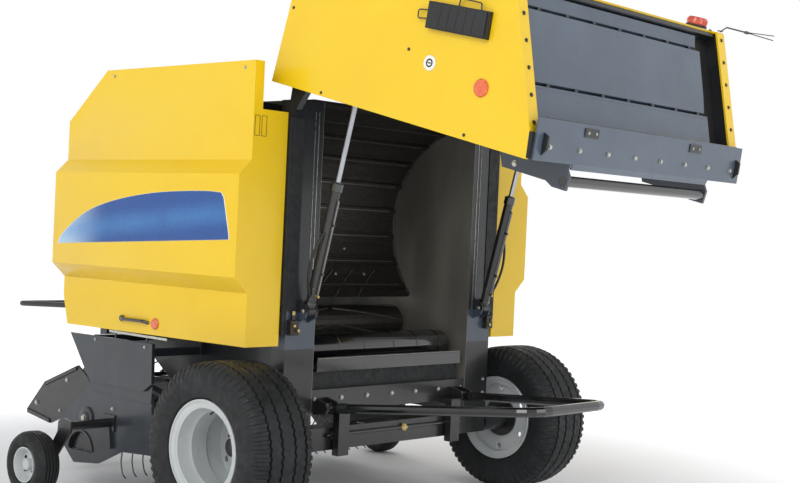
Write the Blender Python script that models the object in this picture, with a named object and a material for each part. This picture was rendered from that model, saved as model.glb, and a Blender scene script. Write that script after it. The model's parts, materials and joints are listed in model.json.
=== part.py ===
"""Round baler: a towed machine that rolls a crop windrow into a bale, standing on its jack, tailgate up.

Everything is laid out from the axle: x forward, y left, z up from the ground. A last step moves the whole
machine so that the middle of its box is over the origin. Left and right pieces share one function, whose
side is +1 for left and -1 for right.
"""

import math

import bmesh
import bpy
from mathutils import Matrix, Vector

# Clearances
GAP = 0.0003            # between faces that touch
TURN_GAP = 0.0009       # radial, between a shaft and the hole it turns in
SIDE_GAP = 0.004        # beside a piece that turns

# Main wheels
TYRE_RADIUS = 0.433
TYRE_WIDTH = 0.392
WHEEL_Y = 1.157
RIM_RADIUS = 0.250
RIM_WIDTH = 0.360
RIM_BARREL = 0.216
RIM_WALL = 0.010
DISC_INSET = 0.123       # from the wheel's middle to its disc, towards the machine
DISC_HALF = 0.006
DISC_DISH = 0.012
DISC_HOLES = 6
HUB_RADIUS = 0.085
HUB_NOSE = 0.085         # from the disc to the hub's outer end
HUB_CAP = 0.022
STUB_RADIUS = 0.035

# Axle and chassis
AXLE_SIDE = 0.120
AXLE_HALF = 0.800
WALL_IN = 0.630
WALL_THICK = 0.030
WALL_TOP = 2.200
WALL_FRONT = 1.460
REAR_X = -0.030
WALL_BOTTOM_GAP = 0.060  # how far the wall's lower edge stays above the pickup's lifted cross tube
POST_DEPTH = 0.100
POST_OUT = WALL_IN + 0.210
FRONT_POST_OUT = WALL_IN + 0.110

# Side shields
SHIELD_REAR = -0.018
SHIELD_FRONT = 1.550
SHIELD_BOTTOM = 0.929
SHIELD_TOP = 2.360
SHIELD_HEIGHT = SHIELD_TOP - SHIELD_BOTTOM
SHIELD_BANDS = tuple(SHIELD_BOTTOM + share * SHIELD_HEIGHT for share in (0.1880, 0.2432, 0.6010, 0.6534))
SHOULDER_X = 1.206
SHOULDER_Z = SHIELD_TOP - 0.286
SHIELD_LOW_Y = 1.101
SHIELD_MID_Y = 1.187
SHIELD_HIGH_Y = 1.110
SHIELD_WALL = 0.030
SHIELD_RIM_Y = 1.000
RAIL_Y = SHIELD_RIM_Y - 0.015
FLANGE_IN = 0.875
FLANGE_TOP = SHIELD_TOP - 0.240

# Tailgate, drawn closed and then turned up about its hinge
HINGE = Vector((-0.080, 0.0, 2.290))
OPEN_ANGLE = math.radians(76.2)
HINGE_PIN_RADIUS = 0.018
GATE_FRONT = -0.036
GATE_OUT = POST_OUT + 0.084
GATE_SKIN = 0.020
GATE_STRIP_IN = GATE_OUT - 0.074
GATE_INNER = WALL_IN - 0.030
GATE_INNER_THICK = 0.016
GATE_ROLLER = (0.046, 0.748, 0.026)
PLATES_DEEP = 0.100
# The side panel's corners: front top, front bottom, rear bottom, rear, rear top and top
GATE_A = (GATE_FRONT + 0.003, 2.429)
GATE_B = (GATE_FRONT + 0.003, 0.749)
GATE_D = (-0.154, 0.764)
GATE_E = (-0.786, 1.038)
GATE_F = (-0.800, 2.120)
GATE_G = (-0.600, 2.401)

# Bale chamber
CHAMBER_X = -0.020
CHAMBER_Z = 1.567
CHAMBER_RADIUS = 0.610
APRON_THICK = 0.022
SLAT_HEIGHT = 0.016
FLOOR_ROLLER = (0.150, 0.890, 0.075)
STARTER_ROLLER = (0.545, 0.985, 0.105)
FEED_ROTOR = (0.900, 0.690, 0.150)
ROLLER_HALF = WALL_IN - 0.044
SHAFT_RADIUS = 0.022

# Tailgate cylinders
CYLINDER_Y = WALL_IN + 0.090
CYLINDER_FOOT = Vector((-0.072, CYLINDER_Y, 1.110))
ROD_PIN_CLOSED = Vector((-0.108, CYLINDER_Y, 2.009))
BARREL_RADIUS = 0.0265
BARREL_LENGTH = 0.683
ROD_RADIUS = 0.0135
EYE_RADIUS = 0.029
EYE_WIDTH = 0.054
PIN_RADIUS = 0.012

# Pickup
PICKUP_HINGE = Vector((0.900, 0.0, 0.620))
CROSS_TUBE = Vector((1.040, 0.0, 0.500))
CROSS_RADIUS = 0.035
CROSS_SPLIT = WALL_IN + 0.0425     # where the middle of the cross tube meets its two ends
REEL = Vector((1.380, 0.0, 0.400))
REEL_TIP = 0.270
REEL_BAR = 0.115
GUARD_Y = 0.980
BAND_RADIUS = 0.205
BAND_THICK = 0.010
BANDS = 9
BAND_PITCH = CROSS_SPLIT / 3.3625
BAND_HALF = BAND_PITCH * 0.325
PICKUP_Y = 1.005
PICKUP_THICK = 0.020
PICKUP_PIN = 0.020
SKIRT_Y = 1.030
SKIRT_THICK = 0.016
GUARD_PIVOT = Vector((1.400, 0.0, 0.510))
GUARD_ROLLER = Vector((1.940, 0.0, 0.420))
GAUGE_RADIUS = 0.180
GAUGE_WIDTH = 0.140
GAUGE_X = 1.330
GAUGE_Y = 1.400

# Front end
BEAM_HALF = 0.080
BEAM_KNEE = (2.140, 1.020)
DRAWBAR_END = 2.950
BEAM_NOSE = (DRAWBAR_END - 0.070, 0.410)
HITCH_X = DRAWBAR_END + 0.250
HITCH_Z = 0.330
JACK_X = 2.450
JACK_Y = 0.125
JACK_SIDE = 0.070
LOOP_FRONT = 3.430
LOOP_REAR = 2.320
LOOP_HALF = 0.200
BEAM_SLOPE = (BEAM_NOSE[1] - BEAM_KNEE[1]) / (BEAM_NOSE[0] - BEAM_KNEE[0])
LOOP_Z = BEAM_KNEE[1] + (LOOP_REAR - BEAM_KNEE[0]) * BEAM_SLOPE + 0.0334

# Bale kicker
KICKER_PIVOT = Vector((-0.090, WALL_IN - 0.070, 0.600))
KICKER_REAR = Vector((-1.240, 0.300, 0.700))
KICKER_TUBE = 0.025

SIDES = (("left", 1), ("right", -1))
ROUND = 28
SMALL_ROUND = 16

# Colour, roughness and metallic value of each finish
PAINTS = {
    "yellow_paint": ((0.83, 0.55, 0.03), 0.35, 0.0),
    "steel_grey_paint": ((0.13, 0.17, 0.22), 0.45, 0.2),
    "black_paint": ((0.012, 0.012, 0.014), 0.4, 0.0),
    "dark_grey_paint": ((0.035, 0.04, 0.048), 0.5, 0.0),
    "silver_paint": ((0.55, 0.57, 0.57), 0.4, 0.3),
    "tyre_rubber": ((0.015, 0.016, 0.018), 0.85, 0.0),
    "worn_steel": ((0.22, 0.22, 0.22), 0.4, 0.9),
    "chrome_rod": ((0.85, 0.86, 0.88), 0.1, 1.0),
    "black_plastic": ((0.02, 0.02, 0.022), 0.55, 0.0),
    "amber_lens": ((0.70, 0.08, 0.02), 0.2, 0.0),
}


# ---------------------------------------------------------------- shapes

def new_object(name, bm):
    """A mesh object from a bmesh, with its faces turned outwards."""
    bmesh.ops.recalc_face_normals(bm, faces=bm.faces)
    mesh = bpy.data.meshes.new(name)
    bm.to_mesh(mesh)
    bm.free()
    obj = bpy.data.objects.new(name, mesh)
    bpy.context.scene.collection.objects.link(obj)
    return obj


def block(x, y, z):
    """A box between two values on each axis."""
    bm = bmesh.new()
    bmesh.ops.create_cube(bm, size=1.0)
    low = Vector((min(x), min(y), min(z)))
    high = Vector((max(x), max(y), max(z)))
    bmesh.ops.scale(bm, vec=high - low, verts=bm.verts)
    bmesh.ops.translate(bm, vec=(high + low) / 2, verts=bm.verts)
    return new_object("block", bm)


def extruded(outline, low, high, axis):
    """A flat outline pushed along x, y or z; the outline gives the other two coordinates in order."""
    bm = bmesh.new()

    def lift(a, b, c):
        return {"x": (c, a, b), "y": (a, c, b), "z": (a, b, c)}[axis]

    bottom = [bm.verts.new(lift(a, b, low)) for a, b in outline]
    top = [bm.verts.new(lift(a, b, high)) for a, b in outline]
    bm.faces.new(bottom)
    bm.faces.new(reversed(top))
    for i in range(len(outline)):
        j = (i + 1) % len(outline)
        bm.faces.new((bottom[i], bottom[j], top[j], top[i]))
    return new_object("extruded", bm)


def side_plate(outline, y_in, y_out, side):
    """An outline in x and z, standing between two distances from the middle."""
    return extruded(outline, min(side * y_in, side * y_out), max(side * y_in, side * y_out), "y")


def rod(start, end, radius, sides=SMALL_ROUND):
    """A round bar between two points."""
    start = Vector(start)
    end = Vector(end)
    bm = bmesh.new()
    turn = (end - start).to_track_quat("Z", "Y").to_matrix().to_4x4()
    move = Matrix.Translation((start + end) / 2)
    bmesh.ops.create_cone(bm, cap_ends=True, segments=sides, radius1=radius, radius2=radius,
                          depth=(end - start).length, matrix=move @ turn)
    return new_object("rod", bm)


def turned(profile, centre, axis=(0, 1, 0), sides=ROUND):
    """A closed profile of (along, radius) pairs spun round an axis through a point."""
    bm = bmesh.new()
    rings = []
    for along, radius in profile:
        if radius < 1e-6:
            rings.append([bm.verts.new((0, 0, along))])
            continue
        angles = [2 * math.pi * k / sides for k in range(sides)]
        rings.append([bm.verts.new((radius * math.cos(a), radius * math.sin(a), along)) for a in angles])
    for here, there in zip(rings, rings[1:] + rings[:1]):
        if len(here) == 1 and len(there) == 1:
            continue
        for k in range(sides):
            n = (k + 1) % sides
            corners = [here[k % len(here)], here[n % len(here)], there[n % len(there)],
                       there[k % len(there)]]
            bm.faces.new(list(dict.fromkeys(corners)))
    turn = Vector(axis).to_track_quat("Z", "Y").to_matrix().to_4x4()
    bmesh.ops.transform(bm, matrix=Matrix.Translation(Vector(centre)) @ turn, verts=bm.verts)
    return new_object("turned", bm)


def arc(centre, radius, start, end, steps):
    """Points in x and z along part of a circle, angles in degrees from forward, upwards."""
    angles = [math.radians(start + (end - start) * k / steps) for k in range(steps + 1)]
    return [(centre[0] + radius * math.cos(a), centre[1] + radius * math.sin(a)) for a in angles]


def rounded(points, radius, steps=4):
    """The path through these points with its inner corners rounded."""
    points = [Vector(p) for p in points]
    path = [points[0]]
    for before, corner, after in zip(points, points[1:], points[2:]):
        start = corner + (before - corner).normalized() * radius
        end = corner + (after - corner).normalized() * radius
        for k in range(steps + 1):
            t = k / steps
            path.append(start * (1 - t) ** 2 + corner * 2 * t * (1 - t) + end * t ** 2)
    return path + [points[-1]]


def tube(points, radius, sides=10):
    """A round bar along a path."""
    curve = bpy.data.curves.new("tube", "CURVE")
    curve.dimensions = "3D"
    curve.bevel_depth = radius
    curve.bevel_resolution = max(sides // 2 - 2, 1)
    curve.use_fill_caps = True
    spline = curve.splines.new("POLY")
    spline.points.add(len(points) - 1)
    for point, place in zip(spline.points, points):
        point.co = (*place, 1)
    obj = bpy.data.objects.new("tube", curve)
    bpy.context.scene.collection.objects.link(obj)
    mesh = bpy.data.meshes.new_from_object(obj.evaluated_get(bpy.context.evaluated_depsgraph_get()))
    bpy.data.objects.remove(obj)
    bm = bmesh.new()
    bm.from_mesh(mesh)
    bpy.data.meshes.remove(mesh)
    bmesh.ops.remove_doubles(bm, verts=bm.verts, dist=1e-5)
    return new_object("tube", bm)


def strip(path, thickness, low, high):
    """A bent sheet: a path in x and z, thickened to its left, between two y values."""
    inner = [Vector(p) for p in path]
    outer = []
    for k, here in enumerate(inner):
        ahead = (inner[min(k + 1, len(inner) - 1)] - here).normalized()
        behind = (here - inner[max(k - 1, 0)]).normalized()
        along = (ahead + behind).normalized()
        normal = Vector((-along.y, along.x))
        stretch = max(along.dot(ahead) or along.dot(behind), 0.5)
        outer.append(here + normal * thickness / stretch)
    outline = [tuple(p) for p in inner] + [tuple(p) for p in reversed(outer)]
    return extruded(outline, low, high, "y")


def boolean(target, other, operation):
    """The first solid joined with the second, or cut by it; the second is used up."""
    modifier = target.modifiers.new(operation, "BOOLEAN")
    modifier.operation = operation
    modifier.solver = "EXACT"
    modifier.object = other
    graph = bpy.context.evaluated_depsgraph_get()
    mesh = bpy.data.meshes.new_from_object(target.evaluated_get(graph))
    target.modifiers.clear()
    target.data = mesh
    bpy.data.objects.remove(other)
    return target


def joined(pieces):
    """Several closed pieces united into one."""
    whole = pieces[0]
    for piece in pieces[1:]:
        boolean(whole, piece, "UNION")
    return whole


def cut(solid, cutters):
    """A piece with other pieces taken out of it."""
    for cutter in cutters:
        boolean(solid, cutter, "DIFFERENCE")
    return solid


# ---------------------------------------------------------------- materials and placing

def paint(node, kind):
    """Each sub-part's own Principled material."""
    colour, roughness, metallic = PAINTS[kind]
    material = bpy.data.materials.new(node + "_" + kind)
    material.use_nodes = True
    shader = material.node_tree.nodes["Principled BSDF"]
    shader.inputs["Base Color"].default_value = (*colour, 1.0)
    shader.inputs["Roughness"].default_value = roughness
    shader.inputs["Metallic"].default_value = metallic
    return material


class Body:
    """A group of sub-parts that move as one, hung from an empty on its joint's axis."""

    def __init__(self, name, origin, parent=None, turn_y=0.0):
        self.origin = Vector(origin)
        self.empty = bpy.data.objects.new(name + "_origin", None)
        bpy.context.scene.collection.objects.link(self.empty)
        self.empty.location = self.origin
        if parent is not None:
            self.empty.parent = parent.empty
            self.empty.location = self.origin - parent.origin
        self.empty.rotation_euler.y = turn_y

    def add(self, name, solid, kind, smooth=False):
        """Finishes a solid as a named sub-part of this body."""
        solid.name = name
        solid.data.name = name
        solid.data.transform(Matrix.Translation(-self.origin))
        solid.parent = self.empty
        solid.data.materials.clear()
        solid.data.materials.append(paint(name, kind))
        if smooth:
            solid.data.shade_smooth()
            solid.data.set_sharp_from_angle(angle=math.radians(35))
        return solid


def clear_scene():
    """An empty scene to build in."""
    for obj in list(bpy.data.objects):
        bpy.data.objects.remove(obj)


# ---------------------------------------------------------------- chassis

def axle_beam(chassis):
    """The square axle beam and the round stubs that carry the wheels."""
    low = TYRE_RADIUS - AXLE_SIDE / 2
    high = TYRE_RADIUS + AXLE_SIDE / 2
    beam = block((-AXLE_SIDE / 2, AXLE_SIDE / 2), (-AXLE_HALF, AXLE_HALF), (low, high))
    stub_end = WHEEL_Y - DISC_INSET + DISC_DISH + HUB_NOSE - HUB_CAP - 0.010
    stub = rod((0, -stub_end, TYRE_RADIUS), (0, stub_end, TYRE_RADIUS), STUB_RADIUS, 20)
    chassis.add("axle_beam", joined([beam, stub]), "black_paint")


def side_frame(chassis, name, side):
    """One side wall of the chamber with its rear post, hinge lug, cylinder foot and shield rail."""
    bottom = TYRE_RADIUS + AXLE_SIDE / 2 + GAP
    outline = [(REAR_X, bottom), (0.75, bottom), (PICKUP_HINGE.x + 0.03, PICKUP_HINGE.z - 0.07),
               (CROSS_TUBE.x + 0.10, CROSS_TUBE.z + 0.10 + WALL_BOTTOM_GAP), (WALL_FRONT, 0.88),
               (WALL_FRONT, 1.96), (1.22, WALL_TOP), (REAR_X, WALL_TOP)]
    wall_out = WALL_IN + WALL_THICK
    pieces = [side_plate(outline, WALL_IN, wall_out, side)]
    inside = wall_out - 0.005
    across = (side * inside, side * POST_OUT)
    post_front = REAR_X + POST_DEPTH
    pieces.append(block((REAR_X, post_front), across, (bottom + 0.01, WALL_TOP - 0.01)))
    pieces.append(block((1.30, 1.40), (side * inside, side * FRONT_POST_OUT), (0.90, 1.95)))
    pieces.append(block((post_front - 0.01, 1.31), (side * inside, side * (WALL_IN + 0.07)), (1.98, 2.06)))
    arm_low = WALL_TOP - 0.08
    rail_top = SHIELD_TOP - 0.015
    for x in (0.20, 1.05):
        pieces.append(block((x, x + 0.06), (side * inside, side * (RAIL_Y - 0.01)),
                            (arm_low, arm_low + 0.06)))
        pieces.append(block((x, x + 0.06), (side * (RAIL_Y - 0.035), side * RAIL_Y),
                            (min(arm_low + 0.01, rail_top - 0.075), max(rail_top - 0.025, arm_low + 0.05))))
    pieces.append(block((0.14, 1.18), (side * (RAIL_Y - 0.030), side * (SHIELD_RIM_Y - GAP)),
                        (rail_top - 0.075, rail_top)))
    lug = [(REAR_X + 0.05, WALL_TOP - 0.06), (REAR_X + 0.02, HINGE.z + 0.03),
           (HINGE.x + 0.025, HINGE.z + 0.045),
           (HINGE.x - 0.035, HINGE.z + 0.035), (HINGE.x - 0.045, HINGE.z - 0.03),
           (REAR_X - 0.005, WALL_TOP - 0.06)]
    pieces.append(side_plate(lug, POST_OUT - 0.040, POST_OUT - 0.002, side))
    pieces.append(rod((HINGE.x, side * (POST_OUT - 0.02), HINGE.z),
                      (HINGE.x, side * (POST_OUT + 0.030), HINGE.z), HINGE_PIN_RADIUS))
    pieces.append(rod((PICKUP_HINGE.x, side * inside, PICKUP_HINGE.z),
                      (PICKUP_HINGE.x, side * (wall_out + 0.050), PICKUP_HINGE.z), PICKUP_PIN))
    foot = CYLINDER_FOOT
    ear = [(REAR_X + 0.01, foot.z - 0.07), (REAR_X + 0.01, foot.z + 0.06), (foot.x - 0.015, foot.z + 0.035),
           (foot.x - 0.03, foot.z), (foot.x - 0.015, foot.z - 0.035)]
    for inner in (CYLINDER_Y - EYE_WIDTH / 2 - 0.014, CYLINDER_Y + EYE_WIDTH / 2 + 0.004):
        pieces.append(side_plate(ear, inner, inner + 0.010, side))
    reach = EYE_WIDTH / 2 + 0.010
    pieces.append(rod((foot.x, side * (foot.y - reach), foot.z), (foot.x, side * (foot.y + reach), foot.z),
                      PIN_RADIUS))
    chassis.add(name, joined(pieces), "steel_grey_paint")


def rear_bolt_plate(chassis):
    """The cross plate under the chamber mouth, with the kicker's lugs and its hanging brackets."""
    face = REAR_X + 0.008
    inner = WALL_IN - GAP
    pieces = [strip([(face + 0.10, 0.571), (face, 0.571), (face, 0.690)], -0.012, -inner, inner)]
    lug = [(face + 0.005, 0.560), (face + 0.005, 0.650), (KICKER_PIVOT.x - 0.02, 0.630),
           (KICKER_PIVOT.x - 0.03, 0.600), (KICKER_PIVOT.x - 0.02, 0.575)]
    for side in (1, -1):
        for inner_y in (KICKER_PIVOT.y - 0.056, KICKER_PIVOT.y + 0.029):
            pieces.append(side_plate(lug, inner_y, inner_y + 0.015, side))
        pieces.append(rod((KICKER_PIVOT.x, side * (KICKER_PIVOT.y - 0.048), KICKER_PIVOT.z),
                          (KICKER_PIVOT.x, side * (KICKER_PIVOT.y + 0.036), KICKER_PIVOT.z), PIN_RADIUS))
        across = (side * (KICKER_PIVOT.y - 0.140), side * (KICKER_PIVOT.y - 0.060))
        pieces.append(block((face - 0.090, face - 0.045), across, (0.345, 0.590)))
        pieces.append(block((face - 0.090, face + 0.004), across, (0.560, 0.590)))
    chassis.add("rear_bolt_plate", joined(pieces), "black_paint")


def floor_sill(chassis):
    """The bent plate under the floor roller, narrow at the rear where the tailgate's side plates pass."""
    narrow = GATE_INNER - 0.010
    lip = [(0.34, 0.784), (-0.020, 0.784), (-0.020, 0.850)]
    pieces = [strip(lip, -0.010, -narrow, narrow)]
    pieces.append(block((0.24, 0.34), (-(WALL_IN - GAP), WALL_IN - GAP), (0.776, 0.800)))
    chassis.add("floor_sill", joined(pieces), "black_paint")


def chamber_apron(chassis):
    """The slatted front of the bale chamber: an arc with bars across its inner face."""
    inner = WALL_IN - GAP
    path = arc((CHAMBER_X, CHAMBER_Z), CHAMBER_RADIUS, 86, -42, 20)
    outer = list(reversed(arc((CHAMBER_X, CHAMBER_Z), CHAMBER_RADIUS + APRON_THICK, 86, -42, 20)))
    pieces = [extruded(path + outer, -inner, inner, "y")]
    for angle in range(-36, 84, 15):
        low = arc((CHAMBER_X, CHAMBER_Z), CHAMBER_RADIUS - SLAT_HEIGHT, angle - 1.6, angle + 1.6, 1)
        high = arc((CHAMBER_X, CHAMBER_Z), CHAMBER_RADIUS + 0.006, angle + 1.6, angle - 1.6, 1)
        pieces.append(extruded(low + high, -inner + 0.02, inner - 0.02, "y"))
    chassis.add("chamber_apron", joined(pieces), "black_paint")


def drawbar_top(x):
    """The height of the drawbar's sloping upper face."""
    return BEAM_KNEE[1] + (x - BEAM_KNEE[0]) * BEAM_SLOPE


def front_pieces(chassis):
    """Cross beams, drawbar, hitch, gearbox, net box and the drive case."""
    inner = WALL_IN - GAP
    beam = block((1.34, WALL_FRONT), (-inner, inner), (0.90, 1.06))
    chassis.add("front_cross_beam", beam, "steel_grey_paint")
    top = block((0.60, 0.70), (-inner, inner), (WALL_TOP - 0.10, WALL_TOP - 0.02))
    chassis.add("top_cross_beam", top, "steel_grey_paint")
    start = WALL_FRONT + GAP
    outline = [(start, 0.89), (2.05, 0.86), (2.80, 0.27), (DRAWBAR_END, 0.27), (DRAWBAR_END, 0.39),
               BEAM_NOSE, BEAM_KNEE, (start, BEAM_KNEE[1])]
    gusset = [(start, -0.30), (start, 0.30), (1.80, 0.07), (1.80, -0.07)]
    pieces = [extruded(outline, -BEAM_HALF, BEAM_HALF, "y"), extruded(gusset, 0.93, 0.95, "z")]
    chassis.add("drawbar", joined(pieces), "steel_grey_paint")
    eye = turned([(-0.030, 0.026), (-0.030, 0.062), (0.030, 0.062), (0.030, 0.026)], (HITCH_X, 0, HITCH_Z),
                 (0, 0, 1), 24)
    plate = block((DRAWBAR_END + GAP, HITCH_X - 0.045), (-0.045, 0.045), (HITCH_Z - 0.025, HITCH_Z + 0.025))
    flange = block((DRAWBAR_END + GAP, DRAWBAR_END + 0.025), (-0.07, 0.07), (0.272, 0.388))
    chassis.add("hitch", joined([flange, plate, eye]), "black_paint", True)
    case = block((1.52, 1.84), (-0.15, 0.15), (1.02 + GAP, 1.33))
    cross = rod((1.66, 0.10, 1.20), (1.66, FRONT_POST_OUT, 1.20), 0.045)
    snout = rod((1.80, 0, 1.16), (1.90, 0, 1.16), 0.060)
    chassis.add("gearbox", joined([case, cross, snout]), "dark_grey_paint")
    left = FRONT_POST_OUT + GAP
    case = [(0.55, 0.95), (1.28, 0.95), (1.78, 1.06), (1.78, 1.34), (1.28, 1.40), (0.55, 1.40)]
    chassis.add("drive_case", extruded(case, left, left + 0.12, "y"), "black_paint")


def net_box(chassis):
    """The trough that holds the wrapping net, across the front."""
    half = WALL_IN + WALL_THICK
    outer = block((WALL_FRONT + GAP, 1.88), (-half, half), (1.46, 1.86))
    hollow = block((WALL_FRONT + 0.015, 1.865), (-half + 0.015, half - 0.015), (1.475, 1.90))
    slot = block((1.52, 1.60), (-half + 0.06, half - 0.06), (1.40, 1.50))
    chassis.add("net_box", cut(outer, [hollow, slot]), "dark_grey_paint")


def skirt(chassis, name, side):
    """The fixed lower side panel between the shield and the pickup, with the struts that hold it."""
    outline = [(0.782, 0.874), (0.775, 0.660), (0.850, 0.610), (1.339, 0.615), (1.409, 0.701),
               (1.545, 0.875)]
    pieces = [side_plate(outline, SKIRT_Y, SKIRT_Y + SKIRT_THICK, side)]
    wall = WALL_IN + WALL_THICK + GAP
    for x, z in ((0.82, 0.80), (1.28, 0.84)):
        pieces.append(block((x, x + 0.05), (side * wall, side * (SKIRT_Y + 0.005)), (z, z + 0.04)))
    pieces.append(block((0.80, 1.36), (side * wall, side * (wall + 0.03)), (0.80, 0.87)))
    chassis.add(name, joined(pieces), "dark_grey_paint")


def hose_loop(chassis):
    """The U-shaped holder that keeps the hoses and cables off the ground at the front."""
    corner = 0.10
    path = rounded([(LOOP_REAR, LOOP_HALF, LOOP_Z + 0.05), (LOOP_FRONT, LOOP_HALF, LOOP_Z),
                    (LOOP_FRONT, -LOOP_HALF, LOOP_Z), (LOOP_REAR, -LOOP_HALF, LOOP_Z + 0.05)], corner)
    pieces = [tube(path, 0.012, 8)]
    pieces.append(block((LOOP_REAR - 0.02, LOOP_REAR + 0.03), (-LOOP_HALF - 0.02, LOOP_HALF + 0.02),
                        (LOOP_Z + 0.030, LOOP_Z + 0.070)))
    low = LOOP_REAR - 0.02
    high = LOOP_REAR + 0.03
    post = [(low, drawbar_top(low) + GAP), (high, drawbar_top(high) + GAP), (high, LOOP_Z + 0.060),
            (low, LOOP_Z + 0.060)]
    pieces.append(extruded(post, -0.03, 0.03, "y"))
    chassis.add("hose_loop", joined(pieces), "black_paint")


def jack(chassis):
    """The parking jack: a sleeve on the drawbar's side and a leg that slides in it."""
    half = JACK_SIDE / 2
    bore = half - 0.009
    sleeve = block((JACK_X - half, JACK_X + half), (JACK_Y - half, JACK_Y + half), (0.30, 0.92))
    bracket = block((JACK_X - 0.06, JACK_X + 0.06), (BEAM_HALF + GAP, JACK_Y), (0.56, 0.68))
    crank = rod((JACK_X, JACK_Y, 0.90), (JACK_X, JACK_Y, 0.96), 0.012, 12)
    arm = block((JACK_X - 0.01, JACK_X + 0.12), (JACK_Y - 0.01, JACK_Y + 0.01), (0.945, 0.957))
    hollow = block((JACK_X - bore, JACK_X + bore), (JACK_Y - bore, JACK_Y + bore), (0.25, 0.88))
    chassis.add("jack_sleeve", cut(joined([sleeve, bracket, crank, arm]), [hollow]), "black_paint")
    leg_body = Body("jack_leg", (JACK_X, JACK_Y, 0.0), chassis)
    inner = bore - 0.001
    leg = block((JACK_X - inner, JACK_X + inner), (JACK_Y - inner, JACK_Y + inner), (0.006, 0.62))
    foot = block((JACK_X - 0.09, JACK_X + 0.09), (JACK_Y - 0.09, JACK_Y + 0.09), (0.0, 0.012))
    leg_body.add("jack_leg", joined([leg, foot]), "worn_steel")


# ---------------------------------------------------------------- wheels

def main_wheel(chassis, word, side):
    """One main wheel: its tyre, rim and hub, turning on the axle stub."""
    centre = Vector((0, side * WHEEL_Y, TYRE_RADIUS))
    wheel = Body(word + "_wheel", centre, chassis)
    half = TYRE_WIDTH / 2
    barrel = RIM_BARREL
    seat = RIM_WIDTH / 2 - 0.014 - GAP
    tyre = [(-seat, barrel + GAP), (-seat, RIM_RADIUS + 0.004), (-half * 0.93, RIM_RADIUS + 0.012),
            (-half, 0.335), (-half * 0.95, 0.395), (-half * 0.80, 0.423), (-half * 0.40, TYRE_RADIUS),
            (half * 0.40, TYRE_RADIUS), (half * 0.80, 0.423), (half * 0.95, 0.395), (half, 0.335),
            (half * 0.93, RIM_RADIUS + 0.012), (seat, RIM_RADIUS + 0.004), (seat, barrel + GAP)]
    wheel.add(word + "_tyre", turned(tyre, centre, (0, 1, 0), ROUND), "tyre_rubber", True)
    wheel.add(word + "_rim", main_rim(centre, side), "silver_paint", True)
    wheel.add(word + "_hub", main_hub(centre, side), "black_paint", True)
    return wheel


def main_rim(centre, side):
    """A deep rim whose disc sits near the machine, dished towards the hub and cut by round holes."""
    flange = RIM_WIDTH / 2
    lip = flange - 0.014
    inner = RIM_BARREL - RIM_WALL
    disc = -side * DISC_INSET
    dish = disc + side * DISC_DISH
    back = disc + DISC_HALF * -side
    front = disc + DISC_HALF * side
    disc_out = [(front, inner), (front, 0.160), (dish + DISC_HALF * side, 0.130),
                (dish + DISC_HALF * side, HUB_RADIUS + GAP)]
    disc_in = [(dish - DISC_HALF * side, HUB_RADIUS + GAP), (dish - DISC_HALF * side, 0.130), (back, 0.160),
               (back, inner)]
    face = disc_out + disc_in
    if side > 0:
        inside = face
    else:
        inside = list(reversed(face))
    profile = [(-flange, RIM_RADIUS), (-lip, RIM_RADIUS), (-lip, RIM_BARREL), (lip, RIM_BARREL),
               (lip, RIM_RADIUS),
               (flange, RIM_RADIUS), (flange, RIM_RADIUS - RIM_WALL), (flange - 0.020, inner)]
    profile += inside + [(-flange + 0.020, inner), (-flange, RIM_RADIUS - RIM_WALL)]
    ring = 0.182
    holes = []
    for k in range(DISC_HOLES):
        angle = 2 * math.pi * (k + 0.5) / DISC_HOLES
        place = centre + Vector((ring * math.cos(angle), disc, ring * math.sin(angle)))
        reach = Vector((0, 0.03, 0))
        holes.append(rod(place - reach, place + reach, 0.017, 8))
    return cut(turned(profile, centre, (0, 1, 0), ROUND), holes)


def main_hub(centre, side):
    """The hub that carries the rim's disc and turns on the axle's stub."""
    bore = STUB_RADIUS + TURN_GAP
    seat = side * (DISC_DISH - DISC_INSET)
    back = -side * (WHEEL_Y - AXLE_HALF - SIDE_GAP)
    nose = seat + side * HUB_NOSE
    bore_end = nose - side * HUB_CAP
    collar = seat - side * (DISC_HALF + GAP)
    profile = [(back, bore), (back, HUB_RADIUS - 0.015), (seat - side * 0.020, HUB_RADIUS - 0.015),
               (seat - side * 0.020, 0.115), (collar, 0.115), (collar, HUB_RADIUS),
               (seat + side * 0.010, HUB_RADIUS),
               (seat + side * 0.014, 0.060), (nose, 0.050), (nose, 0.0), (bore_end, 0.0), (bore_end, bore)]
    return turned(profile, centre, (0, 1, 0), ROUND)


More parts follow.
